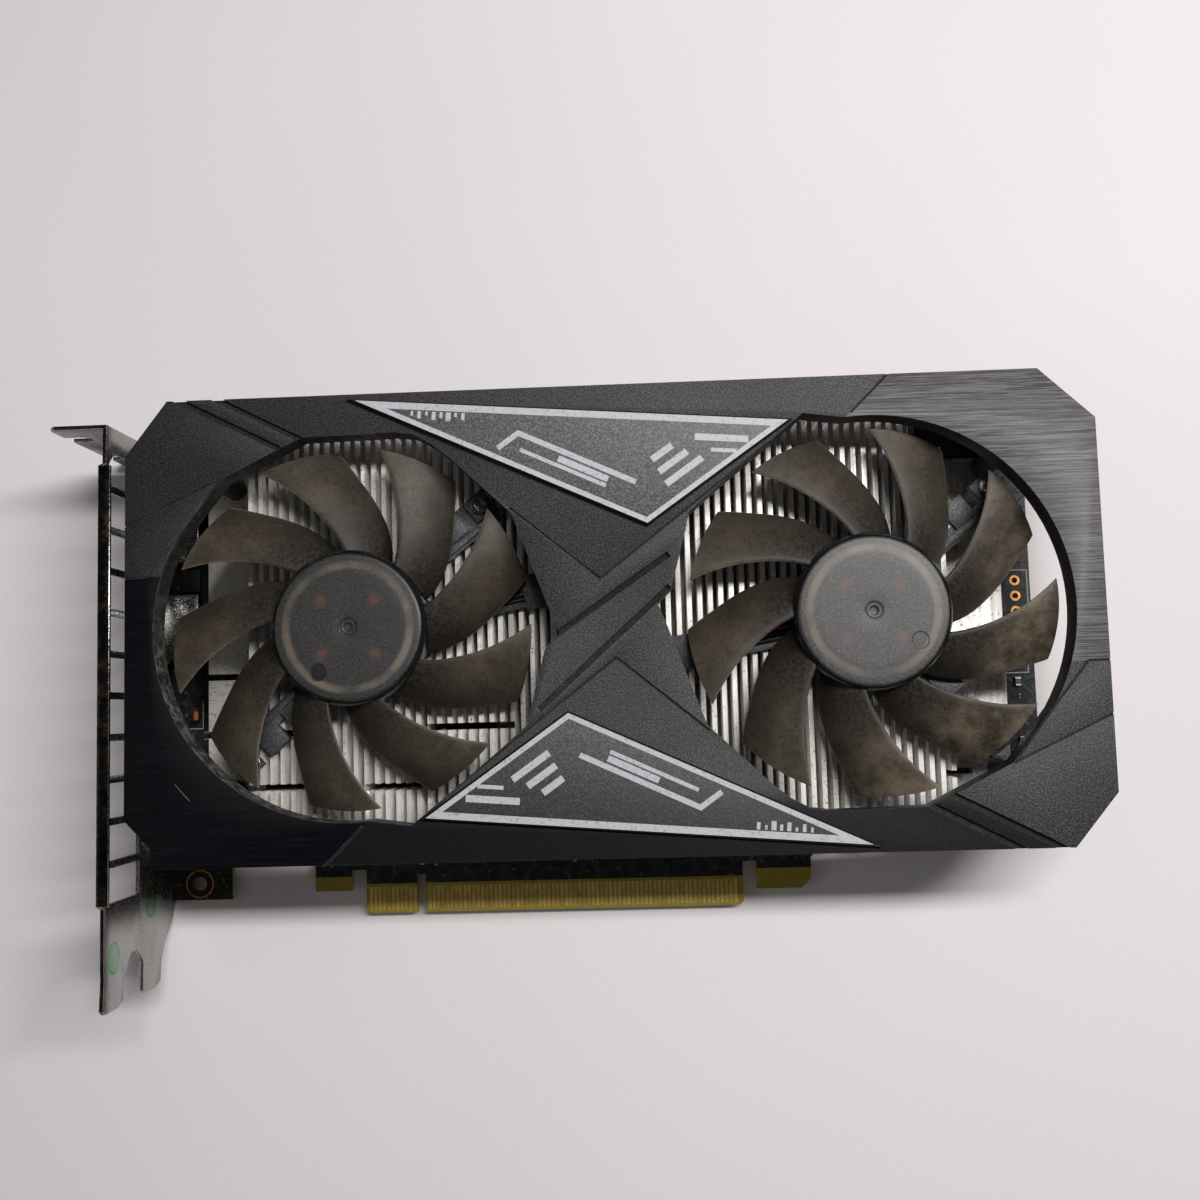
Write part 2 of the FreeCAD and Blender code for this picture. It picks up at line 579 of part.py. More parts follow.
def make_motor(fan, origin):
    """Rotor yoke, magnet and shaft, then the stator that they turn about."""
    keep_shape(ring(*YOKE_RING), fan + "_rotor_yoke", origin)
    keep_shape(ring(*MAGNET_RING), fan + "_magnet_ring", origin)
    shaft_bottom, shaft_top = SHAFT_LEVELS
    shaft = disc(0, 0, shaft_bottom, dim("shaft_radius"), shaft_top - shaft_bottom)
    keep_shape(shaft, fan + "_shaft", origin)
    bore = dim("shaft_radius") + dim("bearing_gap")
    keep_shape(ring(dim("bearing_radius"), bore, *BEARING_LEVELS), fan + "_bearing", origin)
    core = ring(*CORE_RING)
    coils = []
    for step in range(POLES):
        tooth, shoe, coil = stator_pole(360.0 / POLES * step)
        core = core.fuse([tooth, shoe])
        coils.append(coil)
    keep_shape(core.removeSplitter(), fan + "_stator_core", origin)
    keep_shape(Part.makeCompound(coils), fan + "_stator_coils", origin)
    floor = dim("frame_bottom") + dim("frame_thick")
    motor_board = ring(MOTOR_BOARD_RADIUS, TUBE_RADIUS + 0.05, floor, floor + MOTOR_BOARD_THICK)
    keep_shape(motor_board, fan + "_motor_board", origin)


def slab(degrees, start, end, right, left, bottom, height):
    """A flat bar reaching out from the fan's middle, between its right and left edges."""
    bar = Part.makeBox(end - start, left - right, height, Vector(start, right, bottom))
    bar.rotate(Vector(), Vector(0, 0, 1), degrees)
    return bar


def gap_near(x):
    """The middle of the gap between two fins that is nearest to x."""
    first = dim("fin_start") + (dim("fin_pitch") + dim("fin_thick")) / 2
    steps = max(0, round((x - first) / dim("fin_pitch")))
    return first + steps * dim("fin_pitch")


def screw_place(side, degrees):
    """Where an arm's screw goes, and the level it reaches: a fin gap, or a post off the plate."""
    out, across = polar(SCREW_ALONG, degrees), polar(SCREW_ACROSS, degrees + 90)
    x, y = out[0] + across[0], out[1] + across[1]
    middle = side * dim("fan_x")
    if middle + x < dim("fin_start") + dim("fin_count") * dim("fin_pitch"):
        return gap_near(middle + x) - middle, y, FIN_TOP - 5.0, False
    return x, y, PLATE_TOP + 3.0, True


def make_fan_frame(fan, side, screw_arms, cable_arm):
    """Base disc with arms. Each screw arm has square pads along one side and a screw in the last."""
    base, thick = dim("frame_bottom"), dim("frame_thick")
    floor = base + thick
    pad_top = floor + dim("pad_rise")
    half = dim("arm_pad") / 2
    shape = disc(0, 0, base, dim("frame_radius"), thick)
    shape = shape.fuse(disc(0, 0, base, TUBE_RADIUS, TUBE_TOP - base))
    screws = []
    holes = []
    for degrees, spread in screw_arms:
        parts = [slab(degrees, 12, dim("arm_reach"), ARM_RIGHT, spread, base, thick),
                 slab(degrees, 16, 34, ARM_RIGHT + 0.6, ARM_RIGHT + 1.8, floor, 0.7)]
        for middle in PAD_MIDDLES:
            parts.append(slab(degrees, middle - half, middle + half, PAD_LEFT - 2 * half, PAD_LEFT,
                              base, pad_top - base))
        x, y, end, on_plate = screw_place(side, degrees)
        if on_plate:
            parts.append(disc(x, y, PLATE_TOP, 2.3, base - PLATE_TOP + 0.5))
        shape = shape.fuse(parts)
        holes.append(disc(x, y, end - 0.2, FAN_SCREW_RADIUS, pad_top + 1 - end))
        screws.append(screw(x, y, pad_top, 1.9, 1.0, FAN_SCREW_RADIUS, end))
    reach = dim("cable_reach")
    shape = shape.fuse([slab(cable_arm, 10, reach, -3.0, 3.0, base, thick),
                        slab(cable_arm, reach - 4.8, reach, -3.7, 3.7, base, thick + 1.0)])
    half_cable = 1.5 * dim("wire_pitch") + 0.1
    channel = slab(cable_arm, 12.6, reach + 1, -half_cable, half_cable, base + 0.4, thick - 0.3)
    shape = shape.cut(holes + [channel, disc(0, 0, base + 0.6, dim("bearing_radius"), 10)])
    origin = MIDDLE + Vector(side * dim("fan_x"), 0, 0)
    keep_shape(shape.removeSplitter(), fan + "_frame", origin)
    keep_shape(Part.makeCompound(screws), fan + "_screws", origin)


def rounded_run(points, radius):
    """Straight runs joined by tangent arcs, as one wire."""
    edges = []
    start = points[0]
    for here, after in zip(points[1:-1], points[2:]):
        back = (start - here).normalize()
        ahead = (after - here).normalize()
        half = back.getAngle(ahead) / 2
        reach = radius / math.tan(half)
        bisector = (back + ahead).normalize()
        centre = here + bisector * (radius / math.sin(half))
        first, last = here + back * reach, here + ahead * reach
        edges.append(Part.LineSegment(start, first).toShape())
        edges.append(Part.Arc(first, centre - bisector * radius, last).toShape())
        start = last
    edges.append(Part.LineSegment(start, points[-1]).toShape())
    return Part.Wire(edges)


def make_fan_cable(fan, fan_centre, degrees, turn_x):
    """Three wires from the motor, along the cable arm, then back and down to a header."""
    level = dim("frame_bottom") + 0.45 + dim("wire_radius")
    along = Vector(*polar(1, degrees), 0)
    across = Vector(-along.y, along.x, 0)
    wires = []
    for step in (-1, 0, 1):
        shift = step * dim("wire_pitch")
        start = fan_centre + along * 13.2 + across * shift + Vector(0, 0, level)
        corner_x = turn_x - shift
        corner = start + along * ((corner_x - start.x) / along.x)
        rear = Vector(corner_x, HEADER_Y, level)
        foot = Vector(corner_x, HEADER_Y, BOARD_TOP + 7.0)
        path = rounded_run([start, corner, rear, foot], 3.0)
        ring_edge = Part.makeCircle(dim("wire_radius"), start, along)
        wires.append(path.makePipeShell([Part.Wire(ring_edge)], True, True))
    keep_shape(Part.makeCompound(wires), fan + "_cable")


def make_fans():
    for fan, side, phase, screw_arms, cable_arm in FANS:
        centre = ("Sheet.mid_x + %d * Sheet.fan_x" % side, "Sheet.mid_y")
        fan_centre = Vector(side * dim("fan_x"), 0, 0)
        make_impeller(fan, centre, phase)
        make_motor(fan, MIDDLE + fan_centre)
        make_fan_frame(fan, side, screw_arms, cable_arm)
        make_fan_cable(fan, fan_centre, cable_arm, HEADERS[0] if side < 0 else HEADERS[1])
    headers, plugs = [], []
    for x in HEADERS:
        cup = block(x, HEADER_Y, BOARD_TOP, 6.6, 4.4, 4.5)
        headers.append(cup.cut(block(x, HEADER_Y, BOARD_TOP + 1.0, 5.4, 3.2, 5.0)))
        plugs.append(block(x, HEADER_Y, BOARD_TOP + 1.0, 5.3, 3.1, 6.0))
    keep_shape(Part.makeCompound(headers), "fan_headers")
    keep_shape(Part.makeCompound(plugs), "fan_plugs")


# ---- slot bracket and video ports ----

def make_bracket():
    body = doc.addObject("PartDesign::Body", "bracket")
    back, height = dim("bracket_back"), dim("bracket_height")
    tip = back - dim("bracket_length")
    pitch = dim("slot_pitch")
    tongue = [(-65.6, 4.2), (-67.5, 6.5), (-71.2, 8.4), (-75.4, 8.8), (tip, 11.6), (tip, 17.6),
              (-75.6, 18.8), (-69.5, 18.5), (-66.2, 21.6)]
    low = [(back, 0), (-60.0, 0), (-63.5, 2.0)] + tongue
    high = [(y, z + pitch) for y, z in tongue[2:7]]
    upper = [(-66.6, 25.4)] + high + [(-69.4, height - 0.2), (-67.2, height), (back, height)]
    sketch = new_sketch(body, "bracket_plate", "YZ_Plane", "Sheet.bracket_face")
    draw_polygon(sketch, low + upper)
    pad(body, sketch, "Sheet.sheet_thick")
    lip = new_sketch(body, "lip_wall", "YZ_Plane", "Sheet.bracket_face")
    rise = dim("lip_rise")
    draw_polygon(lip, [(36.2, height - 2), (34.6, height + rise),
                       (-54.8, height + rise), (-56.3, height - 2)])
    pad(body, lip, "Sheet.sheet_thick")
    flange = new_sketch(body, "lip_flange", "YZ_Plane", "Sheet.bracket_face")
    inner = height + rise - dim("sheet_thick")
    draw_polygon(flange, rectangle(-54.8, inner, 34.6, height + rise))
    pad(body, flange, "Sheet.lip_width")
    tab = new_sketch(body, "screw_tab", "XZ_Plane", "-Sheet.bracket_back")
    face = dim("bracket_face")
    outer = face - dim("tab_depth")
    inner_face = face + dim("sheet_thick")
    draw_polygon(tab, [(inner_face, 0), (inner_face, height), (outer + 1.0, height),
                       (outer, height - 1.0), (outer, 1.0), (outer + 1.0, 0)])
    pad(body, tab, "Sheet.sheet_thick")
    notches = new_sketch(body, "screw_notches", "XZ_Plane", "-Sheet.bracket_back - 1")
    half = dim("notch_width") / 2
    for middle in (29.2, 29.2 - pitch):
        end = outer + 3.0
        start = outer - 1
        outer_low, outer_high = Vector(start, middle - half, 0), Vector(start, middle + half, 0)
        inner_low, inner_high = Vector(end, middle - half, 0), Vector(end, middle + half, 0)
        notches.addGeometry(Part.LineSegment(outer_high, inner_high))
        notches.addGeometry(Part.Arc(inner_high, Vector(end + half, middle, 0), inner_low))
        notches.addGeometry(Part.LineSegment(inner_low, outer_low))
        notches.addGeometry(Part.LineSegment(outer_low, outer_high))
    pocket(body, notches, "Sheet.sheet_thick + 2", upward=True)
    windows = new_sketch(body, "windows", "YZ_Plane", "Sheet.bracket_face - 1")
    step, bar = dim("vent_pitch"), dim("vent_bar")
    low_edge, high_edge = dim("vent_bottom"), dim("vent_top")
    first = 39.0
    for number in range(11):
        start = first - number * step - bar / 2
        end = start - step + bar
        corner = 2.6 if number == 0 else 0.4
        draw_polygon(windows, [(start, low_edge), (start, high_edge - corner), (start - corner, high_edge),
                               (end, high_edge), (end, low_edge)])
    for _, y, width in PORTS:
        half = width / 2 + 0.3
        draw_polygon(windows, rectangle(y - half, BOARD_TOP - 0.1, y + half, BOARD_TOP + PORT_HEIGHT + 0.5))
    pocket(body, windows, "Sheet.sheet_thick + Sheet.lip_width + 2", upward=True)
    lugs = new_sketch(body, "lugs", "XY_Plane", BOARD_TOP_CELL)
    for x, y in LUG_SCREWS:
        draw_polygon(lugs, rectangle(face + 0.3, y - 4.0, x + 4.0, y + 4.0))
    pad(body, lugs, "Sheet.sheet_thick")
    lug_holes = new_sketch(body, "lug_holes", "XY_Plane", BOARD_TOP_CELL)
    for x, y in LUG_SCREWS:
        draw_circle(lug_holes, x, y, 1.4)
    pocket(body, lug_holes, "Sheet.sheet_thick + 1", upward=True)
    keep(body, "bracket")


def make_ports():
    """Folded metal shells open towards -X, each with its contact tongue."""
    mouth, rear, wall = dim("bracket_face") - 1.1, -94.4, 0.45
    core_depth, tongue_length, tongue_thick = 3.0, 6.0, 1.2
    floor = BOARD_TOP + 0.1
    inner_height = PORT_HEIGHT - 2 * wall
    for label, y, width in PORTS:
        inner_width = width - 2 * wall
        low_y = y - inner_width / 2
        shell = block((mouth + rear) / 2, y, floor, rear - mouth, width, PORT_HEIGHT)
        inside = Part.makeBox(rear - mouth - wall, inner_width, inner_height,
                              Vector(mouth, low_y, floor + wall))
        keep_shape(shell.cut(inside), label)
        core_front = rear - wall - core_depth
        core = Part.makeBox(core_depth, inner_width, inner_height,
                            Vector(core_front, low_y, floor + wall))
        tongue = block(core_front - tongue_length / 2 + 0.6, y, floor + 2.5, tongue_length, width - 4.4,
                       tongue_thick)
        keep_shape(core.fuse(tongue).removeSplitter(), label + "_tongue")


# ---- build, check and write ----

def report_faults():
    faults = []
    for item in doc.Objects:
        if "Invalid" in item.State or "Error" in item.State:
            faults.append("%s: %s" % (item.Label, item.State))
    for node in nodes:
        if node.Shape.isNull() or not node.Shape.isValid():
            faults.append("%s: bad shape" % node.Label)
    return faults


make_board()
make_contacts()
make_chips()
make_power_stage()
make_power_socket()
make_heatsink()
make_board_screws()
make_shroud()
make_badges()
make_fans()
make_bracket()
make_ports()
doc.recompute()

problems = report_faults()
if problems:
    print("\n".join(problems))
    sys.exit(1)

os.makedirs("parts", exist_ok=True)
for node in nodes:
    node.Shape.exportStep("parts/%s.step" % node.Label)
print("wrote %d nodes" % len(nodes))
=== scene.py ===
import math
import random

import bmesh
import bpy
from mathutils import Matrix, Vector


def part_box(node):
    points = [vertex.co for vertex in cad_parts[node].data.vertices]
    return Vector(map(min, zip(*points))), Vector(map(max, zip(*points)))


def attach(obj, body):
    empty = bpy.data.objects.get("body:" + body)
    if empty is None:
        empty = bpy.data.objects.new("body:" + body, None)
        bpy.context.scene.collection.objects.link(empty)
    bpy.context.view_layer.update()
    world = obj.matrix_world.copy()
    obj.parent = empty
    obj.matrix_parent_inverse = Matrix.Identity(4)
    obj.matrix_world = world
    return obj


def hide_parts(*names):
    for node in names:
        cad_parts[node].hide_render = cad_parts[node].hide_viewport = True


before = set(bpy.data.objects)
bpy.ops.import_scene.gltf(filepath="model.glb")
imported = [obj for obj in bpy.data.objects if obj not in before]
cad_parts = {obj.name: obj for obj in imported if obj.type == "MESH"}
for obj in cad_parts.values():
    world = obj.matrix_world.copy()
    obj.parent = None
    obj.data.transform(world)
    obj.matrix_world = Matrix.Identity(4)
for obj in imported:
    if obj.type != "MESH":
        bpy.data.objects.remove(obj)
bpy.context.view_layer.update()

# A two-slot graphics card, fans up. Lengths in this script are millimetres in the CAD frame,
# turned into metres where Blender needs them. Points written as (x, y) pairs are taken about
# the middle of the shroud, like the drawing that the CAD follows.

MM = 0.001
scene = bpy.context.scene


def node_box(name):
    """Lowest and highest corner of a CAD node, in millimetres."""
    low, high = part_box(name)
    return low / MM, high / MM


def node_middle(name):
    low, high = node_box(name)
    return (low + high) / 2


MIDDLE = node_middle("shroud")
SHROUD_TOP = node_box("shroud")[1].z
BADGE_TOP = node_box("upper_badge")[1].z
BOARD_LOW, BOARD_HIGH = node_box("pcb")
LEFT_FAN = node_middle("fan_left_shaft")
RIGHT_FAN = node_middle("fan_right_shaft")


def on_card(x, y, z=0.0):
    """A point given about the middle of the shroud, in the card's frame."""
    return Vector((x + MIDDLE.x, y + MIDDLE.y, z))


def polar(radius, degrees, level=0.0):
    """A point by its distance and direction from an upright axis."""
    angle = math.radians(degrees)
    return Vector((radius * math.cos(angle), radius * math.sin(angle), level))


# ---- materials ----

MIX_INPUTS = (0, 6, 7)  # a colour mix node's factor and its two colours
MIX_OUTPUT = 2


class Graph:
    """One material's nodes. Positions inside it are object positions in millimetres."""

    def __init__(self, name, rough=0.5, metal=0.0, specular=0.5):
        self.material = bpy.data.materials.new(name)
        self.material.use_nodes = True
        self.tree = self.material.node_tree
        self.shader = self.tree.nodes["Principled BSDF"]
        self.roughness(rough)
        self.metallic(metal)
        self.specular(specular)
        self.place = self.vector("SCALE", self.node("ShaderNodeTexCoord").outputs["Object"], 1 / MM)

    def node(self, kind, **settings):
        made = self.tree.nodes.new(kind)
        for key, value in settings.items():
            setattr(made, key, value)
        return made

    def feed(self, socket, value):
        if isinstance(value, bpy.types.NodeSocket):
            self.tree.links.new(value, socket)
        elif socket.type == "RGBA":
            socket.default_value = (*value, 1.0)
        else:
            socket.default_value = value

    def vector(self, operation, first, second=(0, 0, 0)):
        made = self.node("ShaderNodeVectorMath", operation=operation)
        self.feed(made.inputs[0], first)
        self.feed(made.inputs["Scale" if operation == "SCALE" else 1], second)
        return made.outputs["Value" if operation in ("DOT_PRODUCT", "LENGTH") else "Vector"]

    def math(self, operation, first, second=0.0, clamp=False):
        made = self.node("ShaderNodeMath", operation=operation, use_clamp=clamp)
        self.feed(made.inputs[0], first)
        self.feed(made.inputs[1], second)
        return made.outputs[0]

    def times(self, first, *others):
        """The product of values; of masks, it is 1 only where all of them are."""
        for other in others:
            first = self.math("MULTIPLY", first, other)
        return first

    def noise(self, scale, detail=3.0, rough=0.55, stretch=(1, 1, 1)):
        """Cloudy value from 0 to 1; scale is in features per millimetre."""
        place = self.node("ShaderNodeMapping", vector_type="POINT")
        self.feed(place.inputs["Vector"], self.place)
        place.inputs["Scale"].default_value = stretch
        made = self.node("ShaderNodeTexNoise")
        self.feed(made.inputs["Vector"], place.outputs["Vector"])
        made.inputs["Scale"].default_value = scale
        made.inputs["Detail"].default_value = detail
        made.inputs["Roughness"].default_value = rough
        return made.outputs["Fac"]

    def cells(self, scale, feature="F1"):
        """Distance to a cell's middle or edge; scale is in cells per millimetre."""
        made = self.node("ShaderNodeTexVoronoi", feature=feature)
        self.feed(made.inputs["Vector"], self.place)
        made.inputs["Scale"].default_value = scale
        return made.outputs["Distance"]

    def step(self, value, low, high, start=0.0, end=1.0):
        """Smooth step from start at low to end at high."""
        made = self.node("ShaderNodeMapRange", interpolation_type="SMOOTHSTEP")
        for socket, number in zip(made.inputs, (value, low, high, start, end)):
            self.feed(socket, number)
        return made.outputs["Result"]

    def mix(self, factor, first, second):
        """Colour that goes from first to second with factor."""
        made = self.node("ShaderNodeMix", data_type="RGBA")
        for number, value in zip(MIX_INPUTS, (factor, first, second)):
            self.feed(made.inputs[number], value)
        return made.outputs[MIX_OUTPUT]

    def height(self):
        made = self.node("ShaderNodeSeparateXYZ")
        self.feed(made.inputs[0], self.place)
        return made.outputs["Z"]

    def side(self, point, towards, soft=0.3):
        """1 on the side of a line through point that faces towards, 0 on the other."""
        normal = Vector((*towards, 0)).normalized()
        along = self.vector("DOT_PRODUCT", self.place, normal)
        offset = normal.dot(on_card(*point))
        return self.step(along, offset - soft / 2, offset + soft / 2)

    def within(self, *lines):
        """1 on the inner side of every line, each given as a point and a direction inwards."""
        return self.times(*(self.side(point, towards) for point, towards in lines))

    def strip(self, start, end, width):
        """1 along a line of some width between two points."""
        soft = 0.1
        run = Vector(end) - Vector(start)
        across = (-run.y, run.x)
        shift = Vector(across).normalized() * width / 2
        low = self.side(Vector(start) - shift, across, soft)
        high = self.side(Vector(start) + shift, (run.y, -run.x), soft)
        ends = self.times(self.side(start, run, soft), self.side(end, -run, soft))
        return self.times(low, high, ends)

    def band(self, value, low, low_full, high_full, high):
        """1 where value is from low_full to high_full, fading to 0 at low and at high."""
        return self.times(self.step(value, low, low_full), self.step(value, high, high_full))

    def distance(self, centre):
        """Distance from an upright line through centre."""
        flat = self.vector("MULTIPLY", self.vector("SUBTRACT", self.place, centre), (1, 1, 0))
        return self.vector("LENGTH", flat)

    def attribute(self, name):
        return self.node("ShaderNodeAttribute", attribute_name=name).outputs["Fac"]

    def colour(self, value):
        self.feed(self.shader.inputs["Base Color"], value)

    def roughness(self, value):
        self.feed(self.shader.inputs["Roughness"], value)

    def metallic(self, value):
        self.feed(self.shader.inputs["Metallic"], value)

    def specular(self, value):
        self.feed(self.shader.inputs["Specular IOR Level"], value)

    def bump(self, value, depth, strength=1.0):
        """Relief: depth in millimetres over a value from 0 to 1."""
        made = self.node("ShaderNodeBump")
        made.inputs["Strength"].default_value = strength
        made.inputs["Distance"].default_value = depth * MM
        self.feed(made.inputs["Height"], value)
        self.feed(self.shader.inputs["Normal"], made.outputs["Normal"])


def grained(name, dark, light, rough=0.55, scale=2.4, depth=0.04):
    """Moulded plastic: a fine two-tone speckle with a matching relief."""
    graph = Graph(name, rough=rough)
    speck = graph.noise(scale, detail=2.0, rough=0.7)
    cloud = graph.noise(0.06, detail=4.0)
    factor = graph.times(graph.step(speck, 0.44, 0.66), graph.step(cloud, 0.25, 0.75, 0.55, 1.0))
    graph.colour(graph.mix(factor, dark, light))
    graph.roughness(graph.step(speck, 0.3, 0.7, rough + 0.08, rough - 0.08))
    graph.bump(speck, depth)
    return graph.material


def metal(name, bright, dull, rough=0.3, scale=0.5, stretch=(1, 1, 1), metallic=1.0):
    """Plain or drawn metal with cloudy tarnish and fine streaks."""
    graph = Graph(name, rough=rough, metal=metallic)
    cloud = graph.noise(scale, detail=5.0, stretch=stretch)
    fine = graph.noise(scale * 7, detail=2.0, stretch=stretch)
    graph.colour(graph.mix(graph.step(cloud, 0.3, 0.72), bright, dull))
    graph.roughness(graph.step(fine, 0.25, 0.75, max(rough - 0.1, 0.05), rough + 0.12))
    graph.bump(fine, 0.01)
    return graph.material


# The brushed panel at the right rear of the shroud, as lines with a direction inwards; it is
# painted bright, as lit. The shroud has the same panel half a turn away, at the left front,
# painted near black as shade.
BRUSHED_PANEL = [((49.7, 39.8), (7.8, -8.1)), ((95, -11.4), (0, 1)), ((46, 0), (1, 0))]
SHADED_PANEL = [((-x, -y), (-right, -back)) for (x, y), (right, back) in BRUSHED_PANEL]


def shroud_top_material():
    """Speckled moulding, painted lighter to the right as if lit from there, with two brushed panels,
    one painted bright as lit and one painted dark as shade, and painted shade on the front.
    """
    graph = Graph("shroud_top", specular=0.3)
    # painted light and shade: lit is the brushed panel painted bright, shaded is its twin painted
    # near black
    lit = graph.within(*BRUSHED_PANEL)
    shaded = graph.within(*SHADED_PANEL)
    speck = graph.noise(3.1, detail=3.0, rough=0.8)
    cloud = graph.noise(0.045, detail=4.0)
    rubbed = graph.noise(0.5, detail=6.0, rough=0.8)
    # painted light: the moulding's dark and light specks are painted lighter towards the right
    towards = graph.side((-20, 10), (1, 0.25), 150)
    front = graph.times(graph.side((0, -36.5), (0, -1), 7),
                        graph.side((66.8, -37.0), (-11.5, -22.2)))
    dark = graph.mix(towards, (0.007, 0.007, 0.0085), (0.017, 0.017, 0.019))
    light = graph.mix(towards, (0.045, 0.045, 0.05), (0.12, 0.12, 0.127))
    grain = graph.mix(graph.step(speck, 0.44, 0.64), dark, light)
    grain = graph.mix(graph.step(cloud, 0.3, 0.7, 0.0, 0.3), grain, dark)
    grain = graph.mix(graph.step(rubbed, 0.66, 0.74, 0.0, 0.35), grain, (0.15, 0.15, 0.155))
    # painted shade on the front facet
    grain = graph.mix(graph.times(front, 0.85), grain, (0.006, 0.006, 0.007))
    streak = graph.noise(3.6, detail=5.0, rough=0.8, stretch=(0.022, 1.0, 1.0))
    wide = graph.noise(0.35, detail=3.0, stretch=(0.06, 1.0, 1.0))
    # the brushed panel, painted bright as lit
    brushed = graph.mix(graph.step(streak, 0.4, 0.62), (0.035, 0.034, 0.032), (0.19, 0.185, 0.177))
    brushed = graph.mix(graph.step(wide, 0.35, 0.7, 0.0, 0.35), brushed, (0.085, 0.082, 0.078))
    # its twin, painted near black as shade
    deep = graph.mix(graph.step(streak, 0.4, 0.75), (0.0018, 0.0022, 0.0034), (0.008, 0.0088, 0.012))
    tone = graph.mix(shaded, graph.mix(lit, grain, brushed), deep)
    scratch = graph.strip((-88.5, -31.0), (-85.5, -34.4), 0.12)
    graph.colour(graph.mix(scratch, tone, (0.16, 0.16, 0.17)))
    smooth = graph.math("MAXIMUM", lit, shaded)
    graph.roughness(graph.step(smooth, 0.0, 1.0, 0.56, 0.42))
    graph.specular(graph.step(graph.math("MAXIMUM", shaded, front), 0.0, 1.0, 0.3, 0.1))
    graph.bump(graph.mix(smooth, speck, streak), 0.05, 0.7)
    return graph.material


def shroud_edge_material():
    """Rounded edges, rubbed to a thin light line where the left opening was handled."""
    graph = Graph("shroud_edge", rough=0.42)
    worn = graph.step(graph.noise(0.35, detail=5.0, rough=0.7), 0.36, 0.62)
    left = graph.step(graph.distance(LEFT_FAN), 52.0, 46.0)
    amount = graph.times(worn, graph.step(left, 0.0, 1.0, 0.3, 1.0))
    graph.colour(graph.mix(amount, (0.016, 0.016, 0.018), (0.27, 0.26, 0.25)))
    graph.bump(worn, 0.02)
    return graph.material


def duct_material():
    """Walls round the fans: dusty at the left, plain black at the right."""
    graph = Graph("fan_duct", rough=0.6)
    dust = graph.noise(0.5, detail=6.0, rough=0.75)
    near = graph.side((0, 0), (-1, 0), 20)
    front = graph.side((-60, -14), (-0.35, -1), 30)
    amount = graph.times(graph.step(dust, 0.42, 0.7), graph.step(near, 0.0, 1.0, 0.1, 0.5))
    amount = graph.math("MULTIPLY", amount, graph.step(front, 0.0, 1.0, 0.55, 1.8), clamp=True)
    graph.colour(graph.mix(amount, (0.008, 0.008, 0.009), (0.24, 0.225, 0.2)))
    graph.bump(dust, 0.08)
    return graph.material


def badge_material():
    """Badge face: speckled grey with faint streaks, and painted shade that darkens it towards the
    front.
    """
    graph = Graph("badge_face", rough=0.45)
    speck = graph.noise(2.6, detail=3.0, rough=0.8)
    streak = graph.noise(1.2, detail=3.0, stretch=(0.05, 1, 1))
    base = graph.mix(graph.step(speck, 0.42, 0.68), (0.025, 0.025, 0.026), (0.18, 0.18, 0.185))
    tone = graph.mix(graph.step(streak, 0.45, 0.75, 0.0, 0.4), base, (0.1, 0.1, 0.102))
    # painted shade: the badge darkens towards the front
    front = graph.side((0, -26), (0, -1), 40)
    graph.colour(graph.mix(graph.times(front, 0.75), tone, (0.011, 0.011, 0.0125)))
    graph.bump(speck, 0.03)
    return graph.material


def print_material():
    """Pale print on the badges, rubbed thin in places."""
    graph = Graph("badge_print", rough=0.5)
    worn = graph.noise(1.4, detail=5.0, rough=0.75)
    graph.colour(graph.mix(graph.step(worn, 0.28, 0.5), (0.22, 0.225, 0.235), (0.5, 0.515, 0.54)))
    graph.bump(worn, 0.01)
    return graph.material


HUB_RING = (11.6, 12.6, 13.2, 14.0)  # radii over which the tan ring fades in, then out
HUB_RIM = (15.0, 15.2)  # radii over which the cap gives way to the glossy side
HUB_DOT_CIRCLE = 7.8
MARK_RADIUS = (1.75, 1.55)
MARK_RIM = (1.5, 1.65, 1.8, 1.95)


def hub_material(fan, centre, mark, filled, lift):
    """Fan hub: speckled cap with a tan ring, four faint dots and a small round mark.

    mark is where the round mark sits from the centre, filled is 1 where it is dark and 0 where
    only its rim shows, and lift scales the cap's brightness as painted light and shade.
    """
    graph = Graph(fan + "_hub", rough=0.42)
    radius = graph.distance(centre)
    speck = graph.noise(2.6, detail=2.0, rough=0.8)
    cloud = graph.noise(0.12, detail=4.0)
    # painted light and shade: lift makes the whole cap lighter on the right fan and darker on the
    # left
    dark = tuple(part * lift for part in (0.02, 0.0195, 0.019))
    light = tuple(part * lift for part in (0.066, 0.064, 0.062))
    tone = graph.mix(graph.step(speck, 0.44, 0.7), dark, light)
    ring = graph.band(radius, *HUB_RING)
    smudge = graph.times(ring, graph.step(cloud, 0.3, 0.62, 0.15, 0.85))
    tone = graph.mix(smudge, tone, (0.17, 0.14, 0.11))
    for degrees in (45, 135, 225, 315):
        away = graph.distance(centre + polar(HUB_DOT_CIRCLE, degrees))
        tone = graph.mix(graph.step(away, 1.9, 0.2, 0.0, 0.6), tone, (0.13, 0.05, 0.033))
    away = graph.distance(centre + Vector((*mark, 0)))
    circle = graph.step(away, *MARK_RADIUS)
    tone = graph.mix(graph.times(circle, filled), tone, (0.004, 0.004, 0.0045))
    tone = graph.mix(graph.band(away, *MARK_RIM), tone, (0.012, 0.012, 0.013))
    graph.colour(graph.mix(graph.step(radius, *HUB_RIM), tone, (0.008, 0.008, 0.009)))
    graph.roughness(graph.step(radius, *HUB_RIM, 0.45, 0.2))
    relief = graph.math("SUBTRACT", graph.times(speck, 0.3), circle)
    graph.bump(relief, 0.1, 0.6)
    return graph.material


